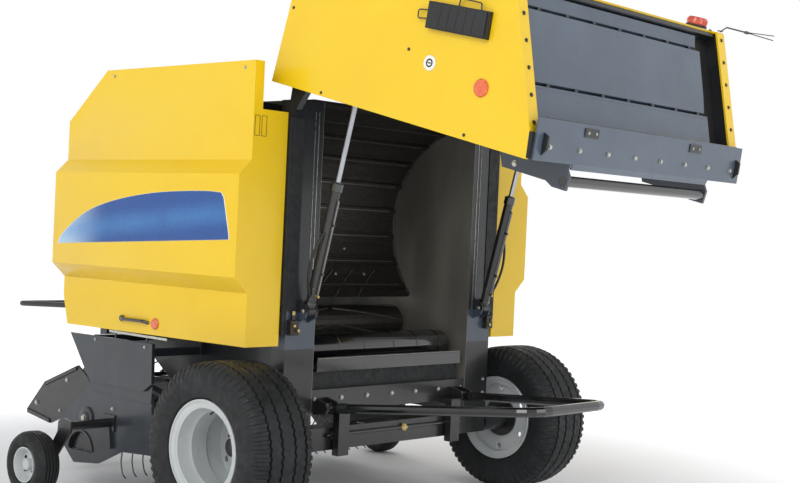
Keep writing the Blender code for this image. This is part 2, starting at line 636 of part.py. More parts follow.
def gauge_wheel(pickup, word, side):
    """One of the pickup's gauge wheels, with its tyre and its light rim."""
    centre = Vector((GAUGE_X, side * GAUGE_Y, GAUGE_RADIUS))
    half = GAUGE_WIDTH / 2
    arm_in = PICKUP_Y + PICKUP_THICK + GAP
    plate_y = GAUGE_Y - half - 0.020
    root = (1.16, 0.40)
    drop = [(root[0] - 0.035, root[1] + 0.03), (root[0] + 0.03, root[1] + 0.04),
            (GAUGE_X + 0.03, GAUGE_RADIUS + 0.02),
            (GAUGE_X + 0.02, GAUGE_RADIUS - 0.025), (GAUGE_X - 0.025, GAUGE_RADIUS - 0.025),
            (root[0] - 0.035, root[1] - 0.03)]
    pieces = [rod((root[0], side * arm_in, root[1]), (root[0], side * (plate_y - 0.002), root[1]), 0.025)]
    pieces.append(side_plate(drop, plate_y - 0.012, plate_y, side))
    pieces.append(rod((GAUGE_X, side * (plate_y - 0.006), GAUGE_RADIUS),
                      (GAUGE_X, side * (GAUGE_Y + 0.030), GAUGE_RADIUS), 0.0137))
    pieces.append(block((root[0] - 0.05, root[0] + 0.05), (side * arm_in, side * (arm_in + 0.010)),
                        (root[1] - 0.045, root[1] + 0.045)))
    pickup.add(word + "_gauge_arm", joined(pieces), "black_paint")
    wheel = Body(word + "_gauge_wheel", centre, pickup)
    tyre = [(-half * 0.72, 0.096), (-half * 0.85, 0.110), (-half, 0.135), (-half * 0.85, 0.164),
            (-half * 0.4, GAUGE_RADIUS), (half * 0.4, GAUGE_RADIUS), (half * 0.85, 0.164), (half, 0.135),
            (half * 0.85, 0.110), (half * 0.72, 0.096)]
    wheel.add(word + "_gauge_tyre", turned(tyre, centre, (0, 1, 0), 24), "tyre_rubber", True)
    rim = [(-half * 0.80, 0.0957), (half * 0.80, 0.0957), (half * 0.80, 0.080), (half * 0.30, 0.068),
           (half * 0.30, 0.035), (half * 0.66, 0.030), (half * 0.66, 0.0), (0.034, 0.0), (0.034, 0.0145),
           (-half * 0.66, 0.0145), (-half * 0.66, 0.030), (-half * 0.30, 0.035), (-half * 0.30, 0.068),
           (-half * 0.80, 0.080)]
    rim = [(side * along, radius) for along, radius in rim]
    wheel.add(word + "_gauge_rim", turned(rim, centre, (0, 1, 0), 24), "silver_paint", True)
    return wheel


# ---------------------------------------------------------------- shields

def shield_door(chassis, word, side):
    """A hollow side cover, open towards the machine, hinged along the top."""
    door = Body(word + "_shield_door", (0, side * SHIELD_RIM_Y, SHIELD_TOP), chassis)
    low, mid, high, top = SHIELD_BANDS
    skin = [(SHIELD_LOW_Y, SHIELD_BOTTOM), (SHIELD_LOW_Y, low), (SHIELD_MID_Y, mid), (SHIELD_MID_Y, high),
            (SHIELD_HIGH_Y, top), (SHIELD_HIGH_Y, SHIELD_TOP)]
    inward = [(FLANGE_IN, SHIELD_TOP), (FLANGE_IN, SHIELD_BOTTOM)]
    outline = [(side * y, z) for y, z in skin + inward]
    solid = extruded(outline, SHIELD_REAR, SHIELD_FRONT, "x")
    wall = SHIELD_WALL
    inner = [(y - wall, z) for y, z in skin]
    inner[0] = (SHIELD_LOW_Y - wall, SHIELD_BOTTOM + wall)
    inner[-1] = (SHIELD_HIGH_Y - wall, SHIELD_TOP - wall)
    inner += [(FLANGE_IN - 0.1, SHIELD_TOP - wall), (FLANGE_IN - 0.1, SHIELD_BOTTOM + wall)]
    hollow = extruded([(side * y, z) for y, z in inner], SHIELD_REAR + wall, SHIELD_FRONT - wall, "x")
    corner = [(SHOULDER_X, SHIELD_TOP + 0.001), (SHIELD_FRONT + 0.010, SHIELD_TOP + 0.001),
              (SHIELD_FRONT + 0.010, SHOULDER_Z)]
    shoulder = side_plate(corner, 0.8, 1.3, side)
    foot = [(SHIELD_FRONT + 0.01, SHIELD_BOTTOM - 0.01), (1.500, SHIELD_BOTTOM - 0.01),
            (SHIELD_FRONT + 0.001, 1.10)]
    toe = side_plate(foot, 0.8, 1.3, side)
    notch = [(SHIELD_REAR - 0.01, FLANGE_TOP), (0.20, FLANGE_TOP), (0.20, SHIELD_TOP + 0.01),
             (SHIELD_REAR - 0.01, SHIELD_TOP + 0.01)]
    rear_notch = side_plate(notch, 0.8, SHIELD_RIM_Y + 0.050, side)
    top_notch = block((SHIELD_REAR - 0.01, SHIELD_FRONT + 0.01), (side * 0.8, side * SHIELD_RIM_Y),
                      (FLANGE_TOP + 0.01, SHIELD_TOP + 0.01))
    bottom_notch = block((SHIELD_REAR + wall, SHIELD_FRONT + 0.01), (side * 0.8, side * 1.045),
                         (SHIELD_BOTTOM - 0.01, SHIELD_BOTTOM + wall + 0.001))
    solid = cut(solid, [hollow, shoulder, toe, rear_notch, top_notch, bottom_notch])
    brace = [(SHOULDER_X - 0.060, SHIELD_TOP - 0.005), (SHOULDER_X + 0.004, SHIELD_TOP - 0.003),
             (SHIELD_FRONT - 0.002, SHOULDER_Z + 0.011), (SHIELD_FRONT - 0.002, SHOULDER_Z - 0.034)]
    slope = side_plate(brace, SHIELD_RIM_Y + 0.002, SHIELD_HIGH_Y - 0.010, side)
    door.add(word + "_shield_door", joined([solid, slope]), "yellow_paint")
    return door


# ---------------------------------------------------------------- tailgate

def offset(a, b, distance):
    """Both ends of a line moved to its left."""
    along = (Vector(b) - Vector(a)).normalized()
    step = Vector((-along.y, along.x)) * distance
    return Vector(a) + step, Vector(b) + step


def gate_side(gate, word, side):
    """A yellow side panel with its bolted strips along the rear edges."""
    outline = [GATE_A, GATE_B, GATE_D, GATE_E, GATE_F, GATE_G]
    pieces = [side_plate(outline, GATE_OUT - GATE_SKIN, GATE_OUT, side)]
    strip_wall = 0.012
    for a, b in ((GATE_D, GATE_E), (GATE_E, GATE_F), (GATE_F, GATE_G)):
        inner_a, inner_b = offset(a, b, -strip_wall)
        quad = [a, b, tuple(inner_b), tuple(inner_a)]
        pieces.append(side_plate(quad, GATE_STRIP_IN, GATE_OUT - 0.002, side))
    gate.add("tailgate_" + word + "_side", joined(pieces), "yellow_paint")


def gate_frame(gate):
    """The steel frame inside the gate: inner side plates, cross tubes, hinge ears and the rods' ears."""
    pieces = []
    reach = GATE_OUT - GATE_SKIN - GAP
    inner_out = GATE_INNER + GATE_INNER_THICK
    low, high = offset(GATE_D, GATE_E, -PLATES_DEEP - GAP)
    outline = [(GATE_FRONT, 2.36), (GATE_FRONT, 1.15), (0.066, 1.10), (0.066, 0.84), (0.085, 0.80),
               (0.085, 0.722),
               (0.020, 0.718), (-0.012, 0.7403), (-0.040, 0.7338), (-0.130, 0.7418), (-0.130, 0.800),
               tuple(low),
               tuple(high), (-0.755, 1.20), (-0.755, 2.05), (-0.60, 2.36)]
    for side in (1, -1):
        pieces.append(side_plate(outline, GATE_INNER, inner_out, side))
    tubes = [((-0.245, -0.165), (2.325, 2.395)), ((-0.70, -0.64), (1.95, 2.01)),
             ((-0.70, -0.64), (1.20, 1.26)), ((-0.25, -0.18), (0.930, 0.985))]
    for x, z in tubes:
        pieces.append(block(x, (-reach, reach), z))
    for side in (1, -1):
        arm = [(HINGE.x - 0.05, HINGE.z - 0.035), (HINGE.x + 0.03, HINGE.z - 0.035),
               (HINGE.x + 0.042, HINGE.z),
               (HINGE.x + 0.03, HINGE.z + 0.04), (HINGE.x - 0.10, 2.39), (HINGE.x - 0.16, 2.39),
               (HINGE.x - 0.16, 2.33)]
        pieces.append(side_plate(arm, POST_OUT + 0.008, POST_OUT + 0.026, side))
        pin = ROD_PIN_CLOSED
        lug = [(pin.x + 0.035, pin.z - 0.045), (pin.x + 0.045, pin.z + 0.02), (pin.x + 0.01, pin.z + 0.055),
               (-0.20, pin.z + 0.10), (-0.20, pin.z + 0.03), (pin.x - 0.03, pin.z - 0.045)]
        for inner in (CYLINDER_Y - EYE_WIDTH / 2 - 0.018, CYLINDER_Y + EYE_WIDTH / 2 + 0.008):
            pieces.append(side_plate(lug, inner, inner + 0.010, side))
        pieces.append(block((-0.245, -0.185), (side * (GATE_INNER + 0.002), side * reach),
                            (pin.z + 0.025, pin.z + 0.095)))
    holes = []
    for side in (1, -1):
        holes.append(rod((HINGE.x, side * (POST_OUT - 0.04), HINGE.z),
                         (HINGE.x, side * (POST_OUT + 0.06), HINGE.z), HINGE_PIN_RADIUS + TURN_GAP, 24))
        x, z, radius = GATE_ROLLER
        holes.append(rod((x, side * (GATE_INNER - 0.01), z), (x, side * (GATE_INNER + 0.03), z),
                         SHAFT_RADIUS + TURN_GAP, 24))
    gate.add("tailgate_frame", cut(joined(pieces), holes), "steel_grey_paint")


def gate_rear_plates(gate):
    """Three overlapping plates stepped up the sloping lower face, set in from the strips."""
    a = Vector(GATE_D)
    b = Vector(GATE_E)
    along = (b - a).normalized()
    inward = Vector((along.y, -along.x))
    length = (b - a).length
    points = []
    steps = ((0.00, 0.36, 0.030, 0.022), (0.36, 0.74, 0.044, 0.030), (0.74, 0.97, 0.058, 0.044))
    for start, end, deep, shallow in steps:
        points.append(a + along * length * (start + 0.012) + inward * deep)
        points.append(a + along * length * (end - 0.02) + inward * shallow)
    back = [points[-1] + inward * (PLATES_DEEP - 0.044), points[0] + inward * (PLATES_DEEP - 0.030)]
    outline = [tuple(p) for p in points + back]
    half = GATE_STRIP_IN - GAP
    gate.add("tailgate_rear_plates", extruded(outline, -half, half, "y"), "steel_grey_paint")


def turned_roller(place, half, tip, sides=24):
    """A roller with its shaft ends, across the machine."""
    x, z, radius = place
    profile = [(-tip, 0.0), (-tip, SHAFT_RADIUS), (-half, SHAFT_RADIUS), (-half, radius), (half, radius),
               (half, SHAFT_RADIUS), (tip, SHAFT_RADIUS), (tip, 0.0)]
    return turned(profile, (x, 0, z), (0, 1, 0), sides)


def gate_bolt_plate(gate):
    """The bent plate along the bottom edge of the gate, over the ends of the strips."""
    path = [(-0.222, 0.752), (-0.150, 0.7435), (-0.040, 0.7335), (-0.012, 0.7400)]
    half = GATE_OUT - GATE_SKIN - GAP
    plate = strip(path, -0.010, -half, half)
    corners = []
    for side in (1, -1):
        corners.append(block((GATE_FRONT, 0.0), (side * GATE_INNER, side * 1.0), (0.70, 0.78)))
    gate.add("tailgate_bolt_plate", cut(plate, corners), "black_paint")


def gate_rear_cover(gate):
    """The yellow cover up the rear face and over the top, between the strips."""
    half = GATE_STRIP_IN - GAP
    path = [(GATE_E[0], GATE_E[1] + 0.035), GATE_F, GATE_G, (-0.26, 2.418)]
    gate.add("tailgate_rear_cover", strip(path, -0.012, -half, half), "yellow_paint")


def gate_apron(gate):
    """The slatted rear of the bale chamber, carried between the gate's inner plates."""
    inner = GATE_INNER - GAP
    low, high = 97, 246
    path = arc((CHAMBER_X, CHAMBER_Z), CHAMBER_RADIUS, low, high, 20)
    outer = list(reversed(arc((CHAMBER_X, CHAMBER_Z), CHAMBER_RADIUS + APRON_THICK, low, high, 20)))
    pieces = [extruded(path + outer, -inner, inner, "y")]
    for angle in range(low + 6, high - 2, 15):
        near = arc((CHAMBER_X, CHAMBER_Z), CHAMBER_RADIUS - SLAT_HEIGHT, angle - 1.6, angle + 1.6, 1)
        far = arc((CHAMBER_X, CHAMBER_Z), CHAMBER_RADIUS + 0.006, angle + 1.6, angle - 1.6, 1)
        pieces.append(extruded(near + far, -inner + 0.02, inner - 0.02, "y"))
    gate.add("tailgate_apron", joined(pieces), "black_paint")


def gate_trim(gate):
    """The lamp on the rear face and the document box on the left panel."""
    lamp = Vector((GATE_E[0] - 0.002, 0.144 - GATE_OUT, 1.130))
    base = [(0.0, 0.0), (0.0, 0.052), (0.014, 0.052), (0.020, 0.046), (0.066, 0.040), (0.074, 0.030),
            (0.074, 0.0)]
    face = lamp - Vector((GAP, 0, 0))
    gate.add("tail_lamp", turned(base, face, (-1, 0, 0), 20), "amber_lens", True)
    y = GATE_OUT + GAP
    box = extruded([(-0.601, 1.470), (-0.611, 1.108), (-0.488, 1.098), (-0.477, 1.461)], y, y + 0.035, "y")
    gate.add("document_box", box, "black_plastic")


def tailgate(chassis):
    """The whole tailgate, drawn closed and turned open about its hinge."""
    gate = Body("tailgate", HINGE, chassis, OPEN_ANGLE)
    gate_side(gate, "left", 1)
    gate_side(gate, "right", -1)
    gate_frame(gate)
    gate_rear_plates(gate)
    gate_bolt_plate(gate)
    gate_rear_cover(gate)
    gate_apron(gate)
    gate_trim(gate)
    x, z, radius = GATE_ROLLER
    roller = Body("tailgate_roller", (x, 0, z), gate)
    solid = turned_roller(GATE_ROLLER, GATE_INNER - SIDE_GAP, GATE_INNER + GATE_INNER_THICK - 0.001, 20)
    roller.add("tailgate_roller", solid, "worn_steel", True)
    return gate


def opened(point):
    """Where a point of the closed tailgate stands when the gate is up."""
    turn = Matrix.Rotation(OPEN_ANGLE, 3, "Y")
    return HINGE + turn @ (point - HINGE)


def cylinder(chassis, word, side):
    """A hydraulic cylinder from the post's foot pin to the gate's ears, drawn along its open line."""
    foot = Vector((CYLINDER_FOOT.x, side * CYLINDER_Y, CYLINDER_FOOT.z))
    pin = opened(ROD_PIN_CLOSED)
    pin.y = foot.y
    along = (pin - foot).normalized()
    length = (pin - foot).length
    barrel = Body(word + "_cylinder_barrel", foot, chassis)
    half = EYE_WIDTH / 2
    eye_hole = rod(foot - Vector((0, half + 0.01, 0)), foot + Vector((0, half + 0.01, 0)),
                   PIN_RADIUS + TURN_GAP, 24)
    eye = rod(foot - Vector((0, half - 0.0005, 0)), foot + Vector((0, half - 0.0005, 0)), EYE_RADIUS, 20)
    body = rod(foot + along * (EYE_RADIUS - 0.006), foot + along * BARREL_LENGTH, BARREL_RADIUS, 20)
    gland = rod(foot + along * (BARREL_LENGTH - 0.045), foot + along * (BARREL_LENGTH - 0.002),
                BARREL_RADIUS + 0.004, 20)
    bore = rod(foot + along * 0.080, foot + along * (BARREL_LENGTH + 0.01), ROD_RADIUS + TURN_GAP, 20)
    barrel.add(word + "_cylinder_barrel", cut(joined([body, eye, gland]), [eye_hole, bore]), "black_paint",
               True)
    slide = Body(word + "_cylinder_rod", pin, barrel)
    shaft = rod(foot + along * 0.385, pin, ROD_RADIUS, 16)
    eye = rod(pin - Vector((0, half - 0.001, 0)), pin + Vector((0, half - 0.001, 0)), EYE_RADIUS, 20)
    cross = rod(pin - Vector((0, half + 0.0077, 0)), pin + Vector((0, half + 0.0077, 0)), PIN_RADIUS, 16)
    slide.add(word + "_cylinder_rod", joined([shaft, eye, cross]), "chrome_rod", True)
    return barrel


# ---------------------------------------------------------------- rollers, kicker, pickup, front pieces

def chamber_roller(chassis, name, place):
    """A drum with its shaft, on its own axis between the side walls."""
    x, z, radius = place
    roller = Body(name, (x, 0, z), chassis)
    solid = turned_roller(place, ROLLER_HALF, WALL_IN - GAP, 24)
    roller.add(name, solid, "worn_steel", True)
    return roller


def feed_rotor(chassis):
    """A shaft with star-shaped fingers that pushes the crop from the pickup into the chamber."""
    x, z, radius = FEED_ROTOR
    rotor = Body("feed_rotor", (x, 0, z), chassis)
    pieces = [rod((x, -WALL_IN + GAP, z), (x, WALL_IN - GAP, z), 0.045)]
    for k in range(7):
        y = -0.48 + 0.16 * k
        turn = math.radians(20) * k
        star = []
        for tooth in range(4):
            a = turn + tooth * math.pi / 2
            star.append((x + 0.055 * math.cos(a - 0.35), z + 0.055 * math.sin(a - 0.35)))
            star.append((x + radius * math.cos(a), z + radius * math.sin(a)))
            star.append((x + (radius - 0.006) * math.cos(a + 0.12),
                         z + (radius - 0.006) * math.sin(a + 0.12)))
            star.append((x + 0.055 * math.cos(a + 0.55), z + 0.055 * math.sin(a + 0.55)))
        pieces.append(extruded(star, y - 0.005, y + 0.005, "y"))
    rotor.add("feed_rotor", joined(pieces), "worn_steel")


def kicker(chassis):
    """The U-shaped bar behind the chamber that rolls the bale clear of the gate."""
    body = Body("kicker", (KICKER_PIVOT.x, 0, KICKER_PIVOT.z), chassis)
    rear = KICKER_REAR
    start = KICKER_PIVOT + (KICKER_REAR - KICKER_PIVOT).normalized() * 0.018
    mirror = Vector((1, -1, 1))
    path = rounded([start, rear, rear * mirror, start * mirror], 0.10)
    pieces = [tube(path, KICKER_TUBE, 10)]
    for side in (1, -1):
        y = side * KICKER_PIVOT.y
        place = (KICKER_PIVOT.x, KICKER_PIVOT.z)
        pieces.append(rod((place[0], y - 0.025, place[1]), (place[0], y + 0.025, place[1]),
                          KICKER_TUBE + 0.001, 20))
    holes = []
    for side in (1, -1):
        y = side * KICKER_PIVOT.y
        holes.append(rod((KICKER_PIVOT.x, y - 0.04, KICKER_PIVOT.z),
                         (KICKER_PIVOT.x, y + 0.04, KICKER_PIVOT.z),
                         PIN_RADIUS + TURN_GAP, 20))
    body.add("kicker_frame", cut(joined(pieces), holes), "black_paint", True)


def stripper_band(y):
    """One curved stripper round the reel, with its tail on the cross tube."""
    arch = arc((REEL.x, REEL.z), BAND_RADIUS, -62, 118, 9)
    path = arch + [(CROSS_TUBE.x + 0.005, CROSS_TUBE.z + CROSS_RADIUS - 0.005)]
    return strip(path, -BAND_THICK, y - BAND_HALF, y + BAND_HALF)


def band_places():
    """The middles of the bands across the reel, from left to right."""
    return [BAND_PITCH * (k - (BANDS - 1) / 2) for k in range(BANDS)]


def pickup_middle():
    """The middle of the cross tube with the strippers on it."""
    reach = Vector((0, CROSS_SPLIT - GAP / 2, 0))
    pieces = [rod(CROSS_TUBE - reach, CROSS_TUBE + reach, CROSS_RADIUS)]
    pieces += [stripper_band(y) for y in band_places() if abs(y) < CROSS_SPLIT]
    return joined(pieces)


def pickup_side(side):
    """A side plate with its end of the cross tube, the outer strippers and the ear on the hinge pin."""
    outline = [(0.800, 0.600), (0.756, 0.268), (1.054, 0.250), (1.265, 0.154), (1.491, 0.130),
               (1.665, 0.273), (1.660, 0.343), (1.612, 0.384), (1.450, 0.528), (1.339, 0.600)]
    arch = arc((1.430, 0.205), 0.110, 0, 180, 10)
    plate = side_plate(outline, PICKUP_Y, PICKUP_Y + PICKUP_THICK, side)
    cut(plate, [side_plate(arch, PICKUP_Y - 0.05, PICKUP_Y + 0.05, side)])
    start = CROSS_TUBE + Vector((0, side * (CROSS_SPLIT + GAP / 2), 0))
    end = CROSS_TUBE + Vector((0, side * (PICKUP_Y + 0.010), 0))
    ear = [(1.00, 0.46), (1.08, 0.52), (0.955, 0.665), (0.855, 0.665), (0.855, 0.575)]
    ear_in = WALL_IN + WALL_THICK + 0.020
    pieces = [plate, rod(start, end, CROSS_RADIUS), side_plate(ear, ear_in, ear_in + 0.020, side)]
    pieces += [stripper_band(y) for y in band_places() if y * side > CROSS_SPLIT]
    hole = rod((PICKUP_HINGE.x, side * (WALL_IN - 0.03), PICKUP_HINGE.z),
               (PICKUP_HINGE.x, side * (WALL_IN + 0.12), PICKUP_HINGE.z),
               PICKUP_PIN + TURN_GAP, 20)
    return cut(joined(pieces), [hole])


def pickup_reel(lift):
    """The turning reel: a shaft, three discs, and four bars that carry the spring tines."""
    reel = Body("pickup_reel", REEL, lift)
    reach = Vector((0, PICKUP_Y - GAP, 0))
    solids = [rod(REEL - reach, REEL + reach, 0.035)]
    half_disc = Vector((0, 0.006, 0))
    for y in (-0.915, 0.0, 0.915):
        middle = REEL + Vector((0, y, 0))
        solids.append(rod(middle - half_disc, middle + half_disc, 0.135, 20))
    half_bar = Vector((0, 0.930, 0))
    for k in range(4):
        angle = math.radians(30 + 90 * k)
        out = Vector((math.cos(angle), 0, math.sin(angle)))
        bar = REEL + out * REEL_BAR
        solids.append(rod(bar - half_bar, bar + half_bar, 0.014, 8))
        for n in range(BANDS + 1):
            root = bar + Vector((0, BAND_PITCH * (n - BANDS / 2), 0))
            solids.append(rod(root, root + out * (REEL_TIP - REEL_BAR), 0.005, 5))
    reel.add("pickup_reel", joined(solids), "worn_steel")


def wind_guard(lift):
    """Two arms with a roller and a cross bar that press the crop down on the reel."""
    guard = Body("wind_guard", GUARD_PIVOT, lift)
    arm = [(GUARD_PIVOT.x - 0.03, GUARD_PIVOT.z + 0.03), (GUARD_PIVOT.x - 0.02, GUARD_PIVOT.z - 0.03),
           (1.795, 0.313), (2.029, 0.347), (2.038, 0.376), (1.871, 0.552), (1.545, 0.680), (1.440, 0.620)]
    arm_y = GUARD_Y
    reach = Vector((0, arm_y, 0))
    solids = [rod(GUARD_ROLLER - reach, GUARD_ROLLER + reach, 0.045)]
    for side in (1, -1):
        solids.append(side_plate(arm, arm_y - 0.006, arm_y + 0.008, side))
        start = GUARD_PIVOT + Vector((0, side * arm_y, 0))
        end = GUARD_PIVOT + Vector((0, side * (PICKUP_Y - GAP), 0))
        solids.append(rod(start, end, 0.016))
    bar = Vector((1.64, 0, 0.585))
    solids.append(rod(bar - reach, bar + reach, 0.018, 12))
    guard.add("wind_guard", joined(solids), "black_paint")


def pickup(chassis):
    """The pickup across the front, which lifts about its ears."""
    lift = Body("pickup", PICKUP_HINGE, chassis)
    lift.add("pickup_frame", pickup_middle(), "dark_grey_paint")
    for word, side in SIDES:
        lift.add(word + "_pickup_side", pickup_side(side), "dark_grey_paint")
        gauge_wheel(lift, word, side)
    pickup_reel(lift)
    wind_guard(lift)


def pto_shaft(chassis):
    """The driveline in its guard, sloping from the gearbox to the hitch."""
    along = Vector((0.951, 0, -0.309)).normalized()
    stub = 0.030
    start = Vector((1.900 + GAP - stub * along.z, 0, 1.160))
    shaft = Body("pto_shaft", start, chassis)
    cone = turned([(0.0, 0.0), (0.0, stub), (0.20, 0.045), (0.20, 0.034), (0.62, 0.034), (0.62, 0.045),
                   (0.80, 0.055), (0.80, 0.026), (0.92, 0.026), (0.92, 0.0)], start, tuple(along), 16)
    shaft.add("pto_shaft", cone, "black_plastic", True)


def net_lid(chassis):
    """The yellow lid of the net box, hinged at its top rear edge."""
    hinge = (WALL_FRONT + GAP, 0, 1.890)
    half = WALL_IN + WALL_THICK
    body = Body("net_box_lid", hinge, chassis)
    top = block((hinge[0], 1.895), (-half, half), (1.86 + GAP, 1.872))
    lip = block((1.883, 1.895), (-half, half), (1.78, 1.872))
    body.add("net_box_lid", joined([top, lip]), "yellow_paint")


def top_cover(chassis):
    """The sheet over the top and down the sloping front, between the side walls."""
    path = [(0.02, WALL_TOP + GAP), (1.222, WALL_TOP + GAP), (WALL_FRONT + 0.001, 1.962)]
    half = WALL_IN + WALL_THICK
    chassis.add("top_cover", strip(path, 0.010, -half, half), "black_paint")


def centre_on_floor(chassis):
    """Moves the machine so that the middle of its box is over the origin."""
    bpy.context.view_layer.update()
    xs = []
    for obj in bpy.data.objects:
        if obj.type == "MESH":
            xs += [(obj.matrix_world @ vertex.co).x for vertex in obj.data.vertices]
    chassis.empty.location.x -= (min(xs) + max(xs)) / 2


def build():
    """Every body of the machine, each on its own axis."""
    clear_scene()
    chassis = Body("baler", (0, 0, 0))
    axle_beam(chassis)
    for word, side in SIDES:
        side_frame(chassis, word + "_side_frame", side)
        main_wheel(chassis, word, side)
        shield_door(chassis, word, side)
        skirt(chassis, word + "_lower_skirt", side)
        cylinder(chassis, word, side)
    rear_bolt_plate(chassis)
    floor_sill(chassis)
    chamber_apron(chassis)
    chamber_roller(chassis, "floor_roller", FLOOR_ROLLER)
    chamber_roller(chassis, "starter_roller", STARTER_ROLLER)
    feed_rotor(chassis)
    front_pieces(chassis)
    net_box(chassis)
    net_lid(chassis)
    top_cover(chassis)
    hose_loop(chassis)
    jack(chassis)
    pto_shaft(chassis)
    tailgate(chassis)
    kicker(chassis)
    pickup(chassis)
    centre_on_floor(chassis)


build()
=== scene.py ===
"""Looks of the round baler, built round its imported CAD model.

Places are metres from the axle (x forward, y left, z up from the ground), as the machine is laid out. MACHINE
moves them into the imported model's frame. What is on the tailgate is given for a closed tailgate, and GATE
turns it up to where the tailgate stands at rest.
"""

import json
import math

import bmesh
import bpy
from mathutils import Matrix, Vector

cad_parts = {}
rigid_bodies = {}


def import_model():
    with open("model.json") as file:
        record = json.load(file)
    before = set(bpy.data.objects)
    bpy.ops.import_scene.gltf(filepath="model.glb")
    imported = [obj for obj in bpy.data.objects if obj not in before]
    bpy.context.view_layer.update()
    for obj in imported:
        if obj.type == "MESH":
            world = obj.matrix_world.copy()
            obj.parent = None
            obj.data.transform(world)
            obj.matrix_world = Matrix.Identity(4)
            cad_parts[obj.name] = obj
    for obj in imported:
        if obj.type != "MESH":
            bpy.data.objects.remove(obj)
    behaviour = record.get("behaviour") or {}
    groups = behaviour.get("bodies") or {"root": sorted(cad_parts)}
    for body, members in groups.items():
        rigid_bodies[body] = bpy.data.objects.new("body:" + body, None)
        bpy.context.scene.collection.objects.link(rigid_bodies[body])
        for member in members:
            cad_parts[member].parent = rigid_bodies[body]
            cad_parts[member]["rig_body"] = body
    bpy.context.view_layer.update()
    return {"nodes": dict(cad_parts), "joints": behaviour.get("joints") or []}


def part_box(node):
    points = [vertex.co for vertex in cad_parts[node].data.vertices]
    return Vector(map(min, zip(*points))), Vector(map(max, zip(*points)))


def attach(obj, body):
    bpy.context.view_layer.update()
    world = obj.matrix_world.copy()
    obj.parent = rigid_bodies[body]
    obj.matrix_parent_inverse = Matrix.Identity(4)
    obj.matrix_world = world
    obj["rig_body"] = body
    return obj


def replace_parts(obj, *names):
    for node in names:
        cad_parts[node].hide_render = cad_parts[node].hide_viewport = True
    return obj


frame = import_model()
JOINTS = {joint["name"]: joint for joint in frame["joints"]}
SIDES = (("left", 1), ("right", -1))
ACROSS = (0, 1, 0)

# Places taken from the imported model
AXLE_LOW, AXLE_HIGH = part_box("axle_beam")
AXLE_X = (AXLE_LOW.x + AXLE_HIGH.x) / 2
MACHINE = Matrix.Translation((AXLE_X, 0, 0))
HINGE = Vector(JOINTS["tailgate_hinge"]["pos_m"])
OPEN_ANGLE = -math.radians(JOINTS["tailgate_hinge"]["range_deg"][0])
GATE = (Matrix.Translation(HINGE) @ Matrix.Rotation(OPEN_ANGLE, 4, "Y")
        @ Matrix.Translation(-HINGE) @ MACHINE)
WORLD = Matrix.Identity(4)

# Chamber: its axis, its radius, the walls' inner faces, half the apron's width, and the rollers' axes
CHAMBER = (-0.020, 1.567)
CHAMBER_RADIUS = 0.610
WALL_IN = 0.630
APRON_HALF = 0.585
STARTER_AXIS = Vector((0.545, 0, 0.985))
FLOOR_AXIS = (0.150, 0.890)

# Closed tailgate: the side panels' outer face, and the ends of the sloping and the upright rear face
GATE_OUT = 0.924
GATE_D = (-0.154, 0.764)
GATE_E = (-0.786, 1.038)
GATE_F = (-0.800, 2.120)

# Other faces that pieces are set on
LOOP_HEIGHT = 0.905
SHIELD_MID_Y = 1.187
SHIELD_REAR = -0.018
POST_BACK = -0.0303
SPRING_Y = 0.46
PICKUP_FACE = 1.0252
GUARD_FACE = 0.9882
GEARBOX_FRONT = 1.8400
GEARBOX_TOP = 1.3302

# Bolt heads that come back: half the width across corners, and the height
SMALL = (0.007, 0.006)
FRAME = (0.009, 0.008)
MEDIUM = (0.010, 0.009)
PIVOT = (0.012, 0.008)

# Angle in degrees above which an edge of a wheel stays sharp
WHEEL_SMOOTH = 30


# ---------------------------------------------------------------- materials

def srgb(red, green, blue):
    """A colour given as it looks on a screen, 0 to 255, as linear values."""
    values = []
    for value in (red, green, blue):
        share = value / 255
        values.append(share / 12.92 if share <= 0.04045 else ((share + 0.055) / 1.055) ** 2.4)
    return (*values, 1.0)


